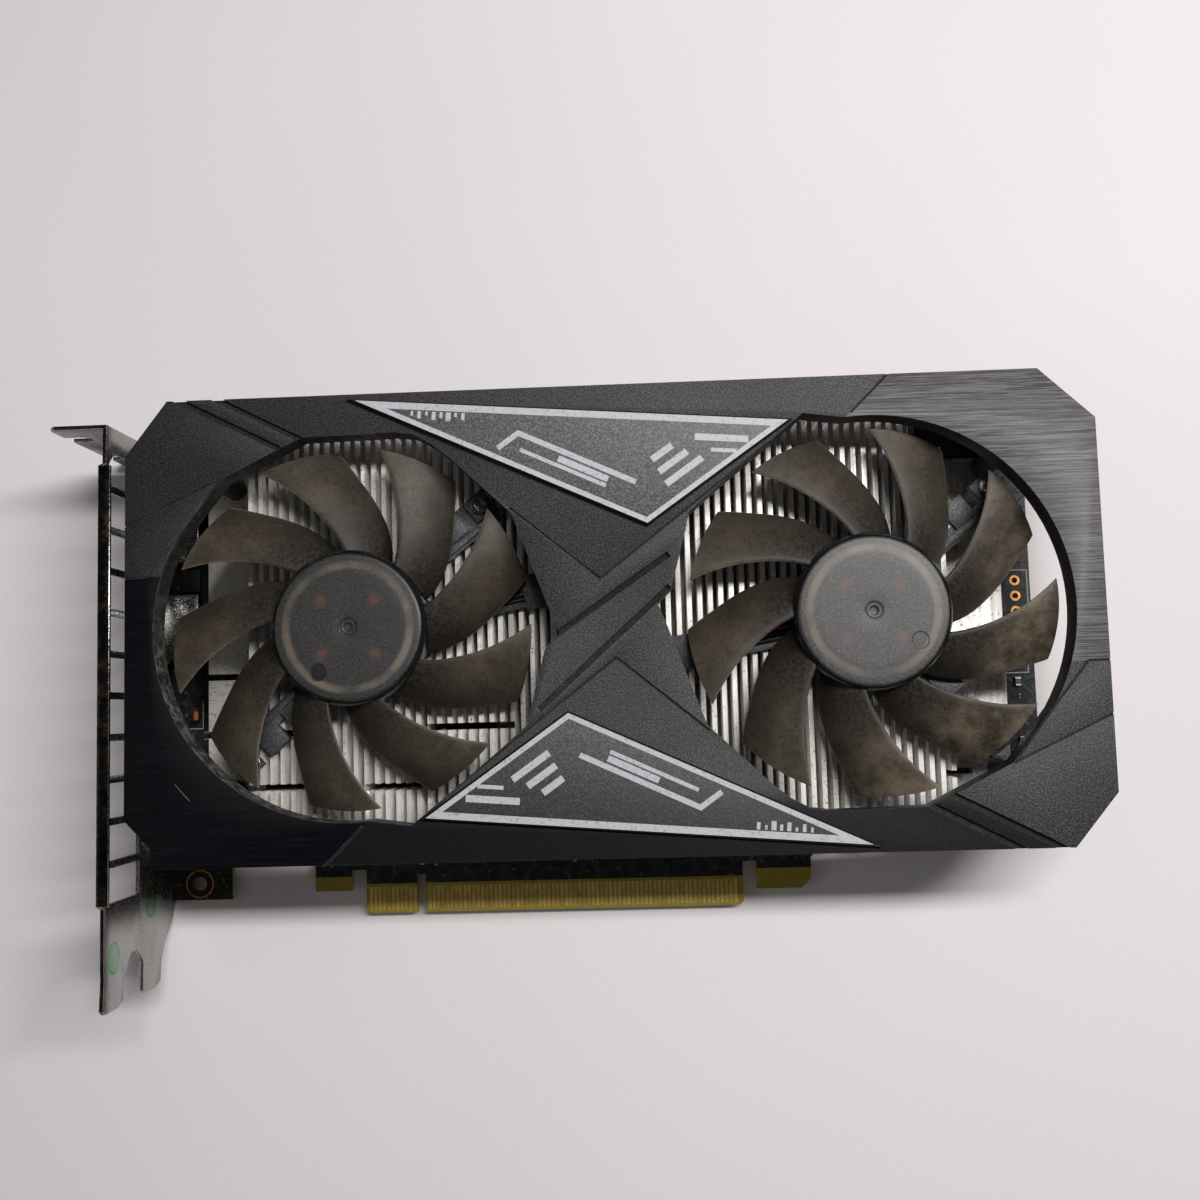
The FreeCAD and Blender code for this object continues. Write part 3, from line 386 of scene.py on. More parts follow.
def blade_material():
    """Smoky plastic with painted shade at the root and towards the trailing rim, painted light in
    patches on the blades to the right, a brown film, dusty rims and dark specks.

    Reads two layers of the blade mesh: chord, from -1 at the trailing rim to 1 at the leading
    one, and span, from 0 at the root to 1 at the tip.
    """
    graph = Graph("blade_smoke", specular=0.3)
    chord = graph.attribute("chord")
    span = graph.attribute("span")
    cloud = graph.noise(0.13, detail=6.0, rough=0.7)
    fine = graph.noise(1.3, detail=6.0, rough=0.85)
    pits = graph.noise(1.1, detail=4.0, rough=0.85)
    # painted shade: darker towards the root, by the hub
    tone = graph.mix(graph.step(span, 0.0, 0.65), (0.006, 0.0052, 0.0042), (0.036, 0.0285, 0.02))
    film = graph.times(graph.step(cloud, 0.4, 0.68, 0.0, 0.7), graph.step(span, 0.15, 0.6))
    tone = graph.mix(film, tone, (0.095, 0.075, 0.05))
    tone = graph.mix(graph.step(fine, 0.4, 0.62, 0.0, 0.5), tone, (0.075, 0.06, 0.043))
    # painted shade towards the trailing rim, which sits lower
    tone = graph.mix(graph.step(chord, 0.3, -0.9, 0.0, 0.45), tone, (0.011, 0.009, 0.007))
    # painted light in cloudy patches on the blades towards the right
    lit = graph.times(graph.side((66, -10), (1, -0.6), 34), graph.step(cloud, 0.36, 0.7),
                      graph.step(span, 0.25, 0.6, 0.0, 0.6))
    tone = graph.mix(lit, tone, (0.22, 0.178, 0.125))
    tone = graph.mix(graph.step(pits, 0.57, 0.66, 0.0, 0.85), tone, (0.014, 0.01, 0.007))
    dust = (0.17, 0.15, 0.12)
    ragged = graph.math("ADD", chord, graph.times(graph.math("SUBTRACT", fine, 0.5), 0.2))
    leading = graph.times(graph.step(ragged, 0.94, 0.985, 0.0, 0.55),
                          graph.step(span, 0.1, 0.5, 0.1, 1.0))
    tone = graph.mix(leading, tone, dust)
    trailing = graph.times(graph.step(chord, -0.96, -0.985), graph.step(span, 0.3, 0.7, 0.0, 0.45))
    graph.colour(graph.mix(trailing, tone, dust))
    graph.roughness(graph.step(fine, 0.3, 0.7, 0.4, 0.6))
    graph.bump(graph.math("ADD", fine, graph.times(pits, 0.6)), 0.05, 0.6)
    return graph.material


FIN_LEFT, FIN_RIGHT = -78.4, 72.8  # ends of the comb of fins; flat plates lie past them


def fin_material():
    """Aluminium: streaks along the fins, painted brownish shade deep between them, painted
    reflections that make some fins darker than others, and bare plates at the ends, the left one
    painted pale as if lit.
    """
    graph = Graph("sink_aluminium", rough=0.3, metal=0.4)
    streak = graph.noise(0.7, detail=4.0, rough=0.7, stretch=(1.6, 0.05, 0.3))
    cloud = graph.noise(0.07, detail=5.0, rough=0.7)
    speck = graph.noise(1.1, detail=5.0, rough=0.85)
    tone = graph.mix(graph.step(streak, 0.3, 0.7), (0.78, 0.76, 0.72), (0.98, 0.97, 0.95))
    tone = graph.mix(graph.step(cloud, 0.45, 0.7, 0.0, 0.4), tone, (0.5, 0.44, 0.36))
    top = node_box("heatsink")[1].z
    between = graph.within(((FIN_LEFT, 0), (1, 0)), ((FIN_RIGHT, 0), (-1, 0)))
    # painted reflections: some fins painted darker than others
    each = graph.noise(0.55, detail=2.0, rough=0.6, stretch=(1.0, 0.0, 0.0))
    tone = graph.mix(graph.step(each, 0.38, 0.62, 0.4, 0.0), tone, (0.45, 0.42, 0.38))
    # painted shade: brownish and darker deep down between the fins
    low = graph.times(graph.step(graph.height(), top - 2.0, top - 12.0), between)
    tone = graph.mix(low, tone, (0.5, 0.45, 0.37))
    # painted light: the left end plate painted pale beige, and made less metallic so that the colour
    # shows
    left = graph.side((FIN_LEFT, 0), (-1, 0))
    tone = graph.mix(graph.times(left, 0.7), tone, (0.98, 0.93, 0.84))
    dirt = graph.times(graph.step(speck, 0.56, 0.63), graph.step(cloud, 0.38, 0.58, 0.3, 1.0))
    graph.colour(graph.mix(dirt, tone, (0.045, 0.036, 0.028)))
    graph.metallic(graph.step(left, 0.0, 1.0, graph.step(between, 0.0, 1.0, 0.85, 0.3), 0.1))
    graph.roughness(graph.step(streak, 0.3, 0.7, 0.5, 0.32))
    graph.bump(streak, 0.02)
    return graph.material


def board_material():
    """Black mask with faint tracks, small vias, dust, and bare resin round the edge contacts."""
    graph = Graph("board_mask", rough=0.45, specular=0.3)
    edges = graph.cells(0.24, feature="DISTANCE_TO_EDGE")
    tracks = graph.step(edges, 0.06, 0.1, 1.0, 0.0)
    tone = graph.mix(tracks, (0.0075, 0.008, 0.0078), (0.02, 0.021, 0.02))
    vias = graph.band(graph.cells(0.42), 0.1, 0.12, 0.16, 0.19)
    tone = graph.mix(vias, tone, (0.12, 0.105, 0.075))
    dust = graph.noise(0.9, detail=6.0, rough=0.8)
    tone = graph.mix(graph.step(dust, 0.56, 0.76, 0.0, 0.5), tone, (0.12, 0.105, 0.09))
    left_tab = graph.strip((-71.0, -56.3), (-60.0, -56.3), 3.6)
    right_tab = graph.strip((29.5, -57.4), (43.0, -57.4), 5.4)
    contacts = graph.strip((-59.0, -59.5), (28.5, -59.5), 6.6)
    bare = graph.math("MAXIMUM", graph.math("MAXIMUM", left_tab, right_tab), contacts)
    resin = graph.mix(graph.noise(1.2, detail=3.0), (0.26, 0.2, 0.018), (0.42, 0.34, 0.045))
    graph.colour(graph.mix(bare, tone, resin))
    graph.roughness(graph.step(dust, 0.4, 0.7, 0.4, 0.6))
    graph.bump(graph.math("ADD", tracks, vias), 0.03)
    return graph.material


def nickel_material():
    """Bracket plating: glossy, with painted dark reflections on the lip and face, satin lower down,
    two ink ovals.
    """
    graph = Graph("bracket_nickel", rough=0.24, metal=1.0)
    cloud = graph.noise(0.22, detail=5.0, rough=0.65)
    fine = graph.noise(1.7, detail=4.0, rough=0.75)
    bright = graph.mix(graph.step(fine, 0.3, 0.7), (0.27, 0.27, 0.255), (0.4, 0.4, 0.385))
    dark = graph.mix(graph.step(cloud, 0.42, 0.72), (0.02, 0.019, 0.018), (0.11, 0.09, 0.07))
    top = node_box("bracket")[1].z
    # painted reflections: the lip and upper face painted dark with brown mottling, the plating
    # lighter lower down
    tone = graph.mix(graph.step(graph.height(), top - 6.0, top - 1.5), bright, dark)
    for y, z in ((-57.5, 14.5), (-66.0, 34.0)):
        offset = graph.vector("SUBTRACT", graph.place, on_card(-103.9, y, z))
        reach = graph.vector("LENGTH", graph.vector("MULTIPLY", offset, (0, 1 / 3.4, 1 / 3.0)))
        tone = graph.mix(graph.step(reach, 1.0, 0.9, 0.0, 0.6), tone, (0.1, 0.3, 0.16))
        tone = graph.mix(graph.band(reach, 0.78, 0.84, 0.94, 1.0), tone, (0.02, 0.3, 0.09))
    tab = graph.side((-104.4, 0), (-1, 0))
    graph.colour(graph.mix(graph.times(tab, 0.6), tone, (0.12, 0.115, 0.11)))
    graph.roughness(graph.step(fine, 0.3, 0.7, 0.18, 0.36))
    graph.bump(fine, 0.008)
    return graph.material


def wire_material(name, base, light):
    graph = Graph(name, rough=0.35)
    cloud = graph.noise(0.8, detail=3.0)
    graph.colour(graph.mix(graph.step(cloud, 0.35, 0.7), base, light))
    graph.bump(graph.noise(3.0), 0.01)
    return graph.material


def table_material():
    """Pale, faintly pink table top with large soft clouds and a fine grain."""
    graph = Graph("table_top", rough=0.7, specular=0.25)
    cloud = graph.noise(0.004, detail=3.0)
    grain = graph.noise(0.9, detail=2.0)
    tone = graph.mix(graph.step(cloud, 0.3, 0.7), (0.80, 0.755, 0.765), (0.84, 0.795, 0.805))
    graph.colour(graph.mix(graph.step(grain, 0.3, 0.8, 0.0, 0.25), tone, (0.76, 0.72, 0.73)))
    graph.bump(grain, 0.02, 0.4)
    return graph.material


SHROUD_TOP_LOOK = shroud_top_material()
SHROUD_EDGE_LOOK = shroud_edge_material()
DUCT_LOOK = duct_material()
# painted shade: the groove floors are the same moulding painted near black
GROOVE_LOOK = grained("groove_floor", (0.004, 0.004, 0.0045), (0.014, 0.014, 0.015), rough=0.8)
SIDE_LOOK = grained("shroud_side", (0.014, 0.014, 0.0155), (0.045, 0.045, 0.048), rough=0.55)
BADGE_LOOK = badge_material()
BADGE_SIDE_LOOK = grained("badge_side", (0.005, 0.005, 0.006), (0.012, 0.012, 0.013), rough=0.18,
                          depth=0.01)
PRINT_LOOK = print_material()
BLADE_LOOK = blade_material()
FRAME_LOOK = grained("frame_black", (0.03, 0.031, 0.034), (0.115, 0.117, 0.123), rough=0.5,
                     scale=2.2)
FRAME_EDGE_LOOK = grained("frame_edge", (0.05, 0.048, 0.045), (0.13, 0.125, 0.12), rough=0.45,
                          scale=1.2)
FIN_LOOK = fin_material()
FIN_EDGE_LOOK = metal("fin_edge", (0.95, 0.94, 0.91), (0.62, 0.59, 0.54), rough=0.25,
                      stretch=(1, 0.12, 1), metallic=0.6)
BOARD_LOOK = board_material()
LAMINATE_LOOK = metal("board_laminate", (0.4, 0.33, 0.045), (0.24, 0.19, 0.03), rough=0.5, scale=1.2,
                      stretch=(1, 1, 8), metallic=0.0)
GOLD_LOOK = metal("contact_gold", (0.95, 0.68, 0.2), (0.6, 0.42, 0.12), rough=0.3, scale=0.8,
                  stretch=(1, 0.3, 1), metallic=0.5)
PLATED_LOOK = metal("hole_plating", (0.8, 0.36, 0.12), (0.45, 0.19, 0.07), rough=0.35, scale=1.0,
                    metallic=0.7)
NICKEL_LOOK = nickel_material()
NICKEL_EDGE_LOOK = metal("nickel_edge", (0.85, 0.84, 0.8), (0.4, 0.38, 0.35), rough=0.18, scale=0.3)
PORT_LOOK = metal("port_steel", (0.34, 0.34, 0.33), (0.2, 0.2, 0.19), rough=0.25, scale=0.4)
TONGUE_LOOK = grained("port_tongue", (0.008, 0.008, 0.008), (0.02, 0.02, 0.02), rough=0.4)
STEEL_LOOK = metal("screw_steel", (0.62, 0.61, 0.59), (0.35, 0.34, 0.32), rough=0.28, scale=1.4)
BLACK_STEEL_LOOK = metal("screw_black", (0.09, 0.088, 0.085), (0.03, 0.03, 0.03), rough=0.3,
                         scale=1.6, metallic=0.7)
COPPER_LOOK = metal("coil_copper", (0.72, 0.33, 0.16), (0.4, 0.17, 0.09), rough=0.3, scale=3.0,
                    stretch=(1, 1, 4))
CORE_LOOK = metal("stator_steel", (0.4, 0.4, 0.42), (0.25, 0.25, 0.26), rough=0.4, stretch=(1, 1, 12))
SHAFT_LOOK = metal("shaft_steel", (0.75, 0.75, 0.76), (0.6, 0.6, 0.6), rough=0.15, stretch=(1, 1, 6))
BRONZE_LOOK = metal("bearing_bronze", (0.55, 0.36, 0.18), (0.35, 0.22, 0.1), rough=0.4, scale=2.0)
MAGNET_LOOK = grained("magnet", (0.03, 0.028, 0.027), (0.07, 0.066, 0.062), rough=0.6)
MOTOR_BOARD_LOOK = grained("motor_board", (0.02, 0.06, 0.03), (0.035, 0.09, 0.045), rough=0.4,
                           scale=1.2)
CHIP_LOOK = grained("chip_black", (0.01, 0.01, 0.0105), (0.028, 0.028, 0.029), rough=0.5,
                    scale=4.0, depth=0.02)
CHOKE_LOOK = grained("choke_powder", (0.035, 0.035, 0.037), (0.09, 0.09, 0.093), rough=0.6,
                     scale=3.0)
CAN_LOOK = metal("can_aluminium", (0.78, 0.78, 0.79), (0.6, 0.6, 0.61), rough=0.22, scale=1.0)
PAD_LOOK = grained("thermal_pad", (0.25, 0.28, 0.33), (0.36, 0.39, 0.44), rough=0.85, scale=1.5)
PASTE_LOOK = grained("thermal_paste", (0.3, 0.3, 0.31), (0.42, 0.42, 0.43), rough=0.5, scale=1.5)
PACKAGE_LOOK = grained("package_laminate", (0.012, 0.045, 0.02), (0.03, 0.085, 0.04), rough=0.35,
                       scale=1.5)
SILICON_LOOK = metal("silicon", (0.2, 0.21, 0.25), (0.14, 0.145, 0.17), rough=0.12, scale=0.6,
                     metallic=0.6)
SOCKET_LOOK = grained("socket_black", (0.007, 0.007, 0.0075), (0.02, 0.02, 0.021), rough=0.42,
                      scale=2.5)
HEADER_LOOK = grained("header_white", (0.5, 0.47, 0.4), (0.66, 0.63, 0.56), rough=0.5, scale=2.0,
                      depth=0.02)
CERAMIC_LOOK = grained("chip_ceramic", (0.11, 0.075, 0.045), (0.2, 0.14, 0.09), rough=0.45,
                       scale=3.0)
TIN_LOOK = metal("solder_tin", (0.72, 0.71, 0.7), (0.5, 0.49, 0.47), rough=0.3, scale=2.0)
SILK_LOOK = grained("silk_print", (0.42, 0.42, 0.42), (0.66, 0.66, 0.66), rough=0.7, scale=1.8,
                    depth=0.01)
ORANGE_LOOK = grained("orange_part", (0.5, 0.13, 0.03), (0.7, 0.24, 0.06), rough=0.5, scale=1.2)
WIRE_LOOKS = [wire_material("wire_black", (0.008, 0.008, 0.009), (0.02, 0.02, 0.021)),
              wire_material("wire_red", (0.3, 0.012, 0.012), (0.42, 0.03, 0.025)),
              wire_material("wire_grey", (0.02, 0.02, 0.022), (0.05, 0.05, 0.053))]


# ---- pieces made from the CAD shapes ----

SHARP_ANGLE = 38.0  # shading stays sharp across steeper edges, in degrees
BEVEL_ANGLE = 30.0  # edges sharper than this are rounded, in degrees
FLAT_ANGLE = 0.8  # facets within this of each other are one flat face, in degrees
WELD_GAP = 0.002
GROOVE_DROP = 0.2  # upward faces this far below the top are the floors of grooves
DUCT_REACH = 46.5  # faces nearer than this to a fan's shaft are the wall round that fan
FANS = ("fan_left", "fan_right")

# Material numbers on a rounded piece. The rounded edges always take EDGE.
TOP, EDGE, DUCT, GROOVE, SIDE = range(5)
BOARD_SIDE = 2


def finish_mesh(work, name, looks, body, smooth=True):
    """Turn a bmesh in metres into a piece that rides on a CAD body."""
    mesh = bpy.data.meshes.new(name)
    work.to_mesh(mesh)
    work.free()
    for look in looks:
        mesh.materials.append(look)
    piece = bpy.data.objects.new(name, mesh)
    scene.collection.objects.link(piece)
    if smooth:
        mesh.shade_smooth()
        mesh.set_sharp_from_angle(angle=math.radians(SHARP_ANGLE))
    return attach(piece, body)


def clean_copy(node):
    """The CAD node's mesh with its flat faces joined, as a bmesh."""
    work = bmesh.new()
    work.from_mesh(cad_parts[node].data)
    bmesh.ops.remove_doubles(work, verts=work.verts, dist=WELD_GAP * MM)
    bmesh.ops.dissolve_limit(work, angle_limit=math.radians(FLAT_ANGLE), verts=work.verts,
                             edges=work.edges)
    return work


def rounded_piece(node, looks, width, segments=2, paint=None):
    """A stand-in for a CAD node of the card, with its edges rounded to a width.

    looks[EDGE] goes on the rounded edges. paint picks a material number for each flat face.
    """
    work = clean_copy(node)
    if paint:
        for face in work.faces:
            face.material_index = paint(face)
    sharp = [edge for edge in work.edges
             if len(edge.link_faces) == 2
             and edge.calc_face_angle(0.0) > math.radians(BEVEL_ANGLE)]
    bmesh.ops.bevel(work, geom=sharp, offset=width * MM, offset_type="OFFSET", segments=segments,
                    profile=0.5, affect="EDGES", clamp_overlap=True, material=EDGE)
    piece = finish_mesh(work, node + "_look", looks, "card")
    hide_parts(node)


def paint_shroud(face):
    centre = face.calc_center_median() / MM
    if face.normal.z > 0.5:
        return GROOVE if centre.z < SHROUD_TOP - GROOVE_DROP else TOP
    to_fan = min((centre - LEFT_FAN).xy.length, (centre - RIGHT_FAN).xy.length)
    return DUCT if to_fan < DUCT_REACH else SIDE


def paint_badge(face):
    return TOP if face.normal.z > 0.9 else EDGE


def paint_board(face):
    return BOARD_SIDE if abs(face.normal.z) < 0.5 else TOP


def keep_shape(node, look):
    """Shows the CAD node as it is, in one look."""
    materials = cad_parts[node].data.materials
    materials.clear()
    materials.append(look)


rounded_piece("shroud", [SHROUD_TOP_LOOK, SHROUD_EDGE_LOOK, DUCT_LOOK, GROOVE_LOOK, SIDE_LOOK], 0.22,
              paint=paint_shroud)
rounded_piece("upper_badge", [BADGE_LOOK, BADGE_SIDE_LOOK], 0.1, paint=paint_badge)
rounded_piece("lower_badge", [BADGE_LOOK, BADGE_SIDE_LOOK], 0.1, paint=paint_badge)
rounded_piece("heatsink", [FIN_LOOK, FIN_EDGE_LOOK], 0.1, segments=1)
rounded_piece("bracket", [NICKEL_LOOK, NICKEL_EDGE_LOOK], 0.16)
rounded_piece("pcb", [BOARD_LOOK, LAMINATE_LOOK, LAMINATE_LOOK], 0.08, segments=1,
              paint=paint_board)
for fan in FANS:
    rounded_piece(fan + "_frame", [FRAME_LOOK, FRAME_EDGE_LOOK], 0.22)
    rounded_piece(fan + "_screws", [BLACK_STEEL_LOOK, STEEL_LOOK], 0.08)
for node, look, edge_look, width in (
        ("power_socket", SOCKET_LOOK, SOCKET_LOOK, 0.15),
        ("power_pins", TIN_LOOK, TIN_LOOK, 0.12),
        ("cooler_screws", STEEL_LOOK, STEEL_LOOK, 0.12),
        ("shroud_screws", BLACK_STEEL_LOOK, STEEL_LOOK, 0.12),
        ("bracket_screws", STEEL_LOOK, STEEL_LOOK, 0.12),
        ("chokes", CHOKE_LOOK, CHOKE_LOOK, 0.4),
        ("polymer_capacitors", CAN_LOOK, CAN_LOOK, 0.35),
        ("memory_chips", CHIP_LOOK, CHIP_LOOK, 0.1),
        ("power_transistors", CHIP_LOOK, CHIP_LOOK, 0.1),
        ("small_chips", CHIP_LOOK, CHIP_LOOK, 0.08),
        ("back_capacitors", CERAMIC_LOOK, TIN_LOOK, 0.08),
        ("gpu_package", PACKAGE_LOOK, PACKAGE_LOOK, 0.12),
        ("gpu_die", SILICON_LOOK, SILICON_LOOK, 0.05),
        ("fan_headers", HEADER_LOOK, HEADER_LOOK, 0.1),
        ("fan_plugs", HEADER_LOOK, HEADER_LOOK, 0.15)):
    rounded_piece(node, [look, edge_look], width)
for port in ("displayport_upper", "hdmi_port", "displayport_lower"):
    rounded_piece(port, [PORT_LOOK, NICKEL_EDGE_LOOK], 0.12)
    rounded_piece(port + "_tongue", [TONGUE_LOOK, TONGUE_LOOK], 0.12)

keep_shape("edge_contacts", GOLD_LOOK)
keep_shape("thermal_pads", PAD_LOOK)
keep_shape("thermal_compound", PASTE_LOOK)
for fan in FANS:
    for part, look in (("rotor_yoke", CORE_LOOK), ("magnet_ring", MAGNET_LOOK),
                       ("shaft", SHAFT_LOOK), ("bearing", BRONZE_LOOK),
                       ("stator_core", CORE_LOOK), ("stator_coils", COPPER_LOOK),
                       ("motor_board", MOTOR_BOARD_LOOK)):
        keep_shape(fan + "_" + part, look)


def wire_pieces(node):
    """The fan cable's three wires, each in its own colour."""
    work = clean_copy(node)
    left = set(work.faces)
    number = 0
    while left:
        front = [min(left, key=lambda face: face.index)]
        left.discard(front[0])
        while front:
            face = front.pop()
            face.material_index = number % len(WIRE_LOOKS)
            for edge in face.edges:
                for beside in edge.link_faces:
                    if beside in left:
                        left.discard(beside)
                        front.append(beside)
        number += 1
    piece = finish_mesh(work, node + "_look", WIRE_LOOKS, "card")
    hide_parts(node)


for fan in FANS:
    wire_pieces(fan + "_cable")


# ---- impellers ----

BLADES = 9
BLADE_COLUMNS, BLADE_ROWS = 16, 18  # grid of each blade's skin: across the chord, along the span
BLADE_CAMBER = 0.9
RIM_THINNING = 0.45  # share of a blade's thickness lost towards its two rims
RIM_ROUNDING = 2.2
BLADE = 1  # the blades' material number on an impeller; its hub has 0
HUB_SIDES = 96
BLADE_STATIONS = [  # radius, leading and trailing angle, upper and lower edge, thickness
    (15.4, 93.0, 59.5, 34.9, 28.6, 1.5), (21.0, 100.5, 69.0, 35.1, 28.5, 1.35),
    (26.5, 107.2, 79.2, 35.1, 28.7, 1.2), (32.0, 113.4, 88.0, 34.9, 29.0, 1.1),
    (37.6, 119.6, 94.6, 34.4, 29.4, 0.9)]
HUB_PROFILE = [  # radius and level, from the skirt up and in to the middle of the cap
    (15.0, 26.45), (16.0, 26.45), (16.08, 26.6), (16.08, 35.0), (15.9, 35.5), (15.45, 36.05),
    (15.0, 36.4), (14.6, 36.47), (10.0, 36.47), (5.0, 36.47), (2.3, 36.47), (2.0, 36.44),
    (1.9, 36.2), (1.65, 36.15), (1.5, 36.35), (1.1, 36.38), (0.9, 36.3), (0.75, 35.9),
    (0.4, 35.85), (0.0, 35.85)]


def circle(work, centre, radius, level, sides):
    """A level ring of points round a centre, in millimetres."""
    return [work.verts.new((centre + polar(radius, 360.0 * k / sides, level)) * MM)
            for k in range(sides)]


def bridge(work, first, second, material=0):
    """Quads between two closed rings of points."""
    for k in range(len(first)):
        after = (k + 1) % len(first)
        quad = work.faces.new((first[k], first[after], second[after], second[k]))
        quad.material_index = material


def station(share):
    """Blade section values at a share of the span, on smooth curves through the stations."""
    last = len(BLADE_STATIONS) - 1
    spot = share * last
    here = min(int(spot), last - 1)
    rest = spot - here
    rows = [BLADE_STATIONS[max(0, min(last, here + k))] for k in (-1, 0, 1, 2)]
    values = []
    for a, b, c, d in zip(*rows):
        cubic = 3 * (b - c) + d - a
        square = 2 * a - 5 * b + 4 * c - d
        values.append(b + 0.5 * rest * (c - a + rest * (square + rest * cubic)))
    return values


def add_blade(work, turn, chord_layer, span_layer):
    """One closed blade: rings round its section, from root to tip."""
    rings = []
    for row in range(BLADE_ROWS + 1):
        share = row / BLADE_ROWS
        radius, leading, trailing, top, bottom, thick = station(share)
        ring = []
        for column in range(2 * BLADE_COLUMNS):
            spot = column / BLADE_COLUMNS * math.pi
            chord, side = math.cos(spot), math.sin(spot)
            level = (top + bottom) / 2 + (top - bottom) / 2 * chord
            level += BLADE_CAMBER * (1 - chord * chord)
            body = thick * (1.0 - RIM_THINNING * chord * chord) * min(1.0, RIM_ROUNDING * abs(side))
            level += math.copysign(body / 2, side) if abs(side) > 1e-6 else 0.0
            degrees = (leading + trailing) / 2 + (leading - trailing) / 2 * chord + turn
            vert = work.verts.new(polar(radius, degrees, level) * MM)
            vert[chord_layer] = chord
            vert[span_layer] = share
            ring.append(vert)
        rings.append(ring)
    for inner, outer in zip(rings, rings[1:]):
        bridge(work, inner, outer, BLADE)
    work.faces.new(rings[-1]).material_index = BLADE
    work.faces.new(rings[0][::-1]).material_index = BLADE


def make_impeller(fan, centre, phase, hub_look):
    """Hub and blades of a fan, the first blade turned by phase degrees."""
    work = bmesh.new()
    chord_layer = work.verts.layers.float.new("chord")
    span_layer = work.verts.layers.float.new("span")
    rings = [circle(work, Vector((0, 0, 0)), radius, level, HUB_SIDES)
             for radius, level in HUB_PROFILE[:-1]]
    peak = work.verts.new(Vector((0, 0, HUB_PROFILE[-1][1])) * MM)
    for lower, upper in zip(rings, rings[1:]):
        bridge(work, lower, upper)
    for k in range(HUB_SIDES):
        work.faces.new((rings[-1][k], rings[-1][(k + 1) % HUB_SIDES], peak))
    for number in range(BLADES):
        add_blade(work, phase + 360.0 / BLADES * number, chord_layer, span_layer)
    bmesh.ops.recalc_face_normals(work, faces=work.faces)
    bmesh.ops.translate(work, verts=work.verts, vec=Vector((centre.x, centre.y, 0)) * MM)
    piece = finish_mesh(work, fan + "_impeller_look", [hub_look, BLADE_LOOK], fan + "_rotor")
    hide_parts(fan + "_impeller")


make_impeller("fan_left", LEFT_FAN, 0.0,
              hub_material("fan_left", LEFT_FAN, mark=(-6.2, -9.1), filled=1.0, lift=0.85))
make_impeller("fan_right", RIGHT_FAN, 9.0,
              hub_material("fan_right", RIGHT_FAN, mark=(9.0, -6.2), filled=0.0, lift=1.45))


# ---- badge print ----

BADGE_CORNERS = [Vector(corner) for corner in ((-52.6, 46.7), (8.6, 18.4), (38.5, 39.1))]
BORDER_OUTER = (0.35, 0.4, 0.35)  # margins at the slanted, short and long sides of a badge
BORDER_INNER = (1.35, 1.4, 1.75)
PRINT_THICK = 0.05
PRINT_LEVEL = BADGE_TOP - 0.01  # the print is sunk a little, so that it has no gap beneath
PRINT_STEP = 0.002  # each line lies this much above the last, so that none share a plane
TICK_START, TICK_PITCH, TICK_MARGIN = 14.0, 1.5, 2.0  # along the long side, and in from it
TICKS = [(1.0, 0.5), (1.5, 0.7), (0.8, 0.5), (1.7, 0.8), (1.2, 0.6), (1.8, 1.0), (0.9, 0.5),
         (1.4, 0.7)]  # length and width


def ribbon(work, points, width, level, thick=PRINT_THICK):
    """A flat printed line along points, mitred at its corners."""
    flat = [Vector(point) for point in points]
    rows = []
    for number, point in enumerate(flat):
        before = (point - flat[number - 1]).normalized() if number else None
        after = (flat[number + 1] - point).normalized() if number + 1 < len(flat) else None
        heading = ((before or after) + (after or before)).normalized()
        across = Vector((-heading.y, heading.x))
        spread = 1.0 / max(0.35, across.dot(Vector((-(after or before).y, (after or before).x))))
        edges = [point + across * spread * side * width / 2 for side in (-1, 1)]
        rows.append([work.verts.new(on_card(edge.x, edge.y, level + lift) * MM)
                     for lift in (0.0, thick) for edge in edges])
    for near, far in zip(rows, rows[1:]):
        for a, b in ((2, 3), (0, 2), (3, 1)):
            work.faces.new((near[a], near[b], far[b], far[a]))
    for row in (rows[0], rows[-1]):
        work.faces.new((row[0], row[1], row[3], row[2]))


def inset(corners, margins):
    """A triangle whose sides are moved inwards, each by its own margin."""
    middle = sum(corners, Vector((0, 0))) / 3
    sides = []
    for start, end, margin in zip(corners, corners[1:] + corners[:1], margins):
        run = (end - start).normalized()
        inward = Vector((-run.y, run.x))
        if inward.dot(middle - start) < 0:
            inward = -inward
        sides.append((start + inward * margin, run))
    moved = []
    for (here, run), (other, heading) in zip(sides[-1:] + sides[:-1], sides):
        gap = other - here
        reach = (gap.x * heading.y - gap.y * heading.x) / (run.x * heading.y - run.y * heading.x)
        moved.append(here + run * reach)
    return moved


def print_border(work, flip):
    """A mitred border along the three sides of a badge."""
    outer, inner = [[work.verts.new(on_card(point.x * flip, point.y * flip, PRINT_LEVEL + lift) * MM)
                     for point in inset(BADGE_CORNERS, margins) for lift in (0.0, PRINT_THICK)]
                    for margins in (BORDER_OUTER, BORDER_INNER)]
    for a, b in ((0, 2), (2, 4), (4, 0)):
        work.faces.new((outer[a + 1], outer[b + 1], inner[b + 1], inner[a + 1]))
        work.faces.new((outer[a], outer[b], outer[b + 1], outer[a + 1]))
        work.faces.new((inner[a], inner[b], inner[b + 1], inner[a + 1]))


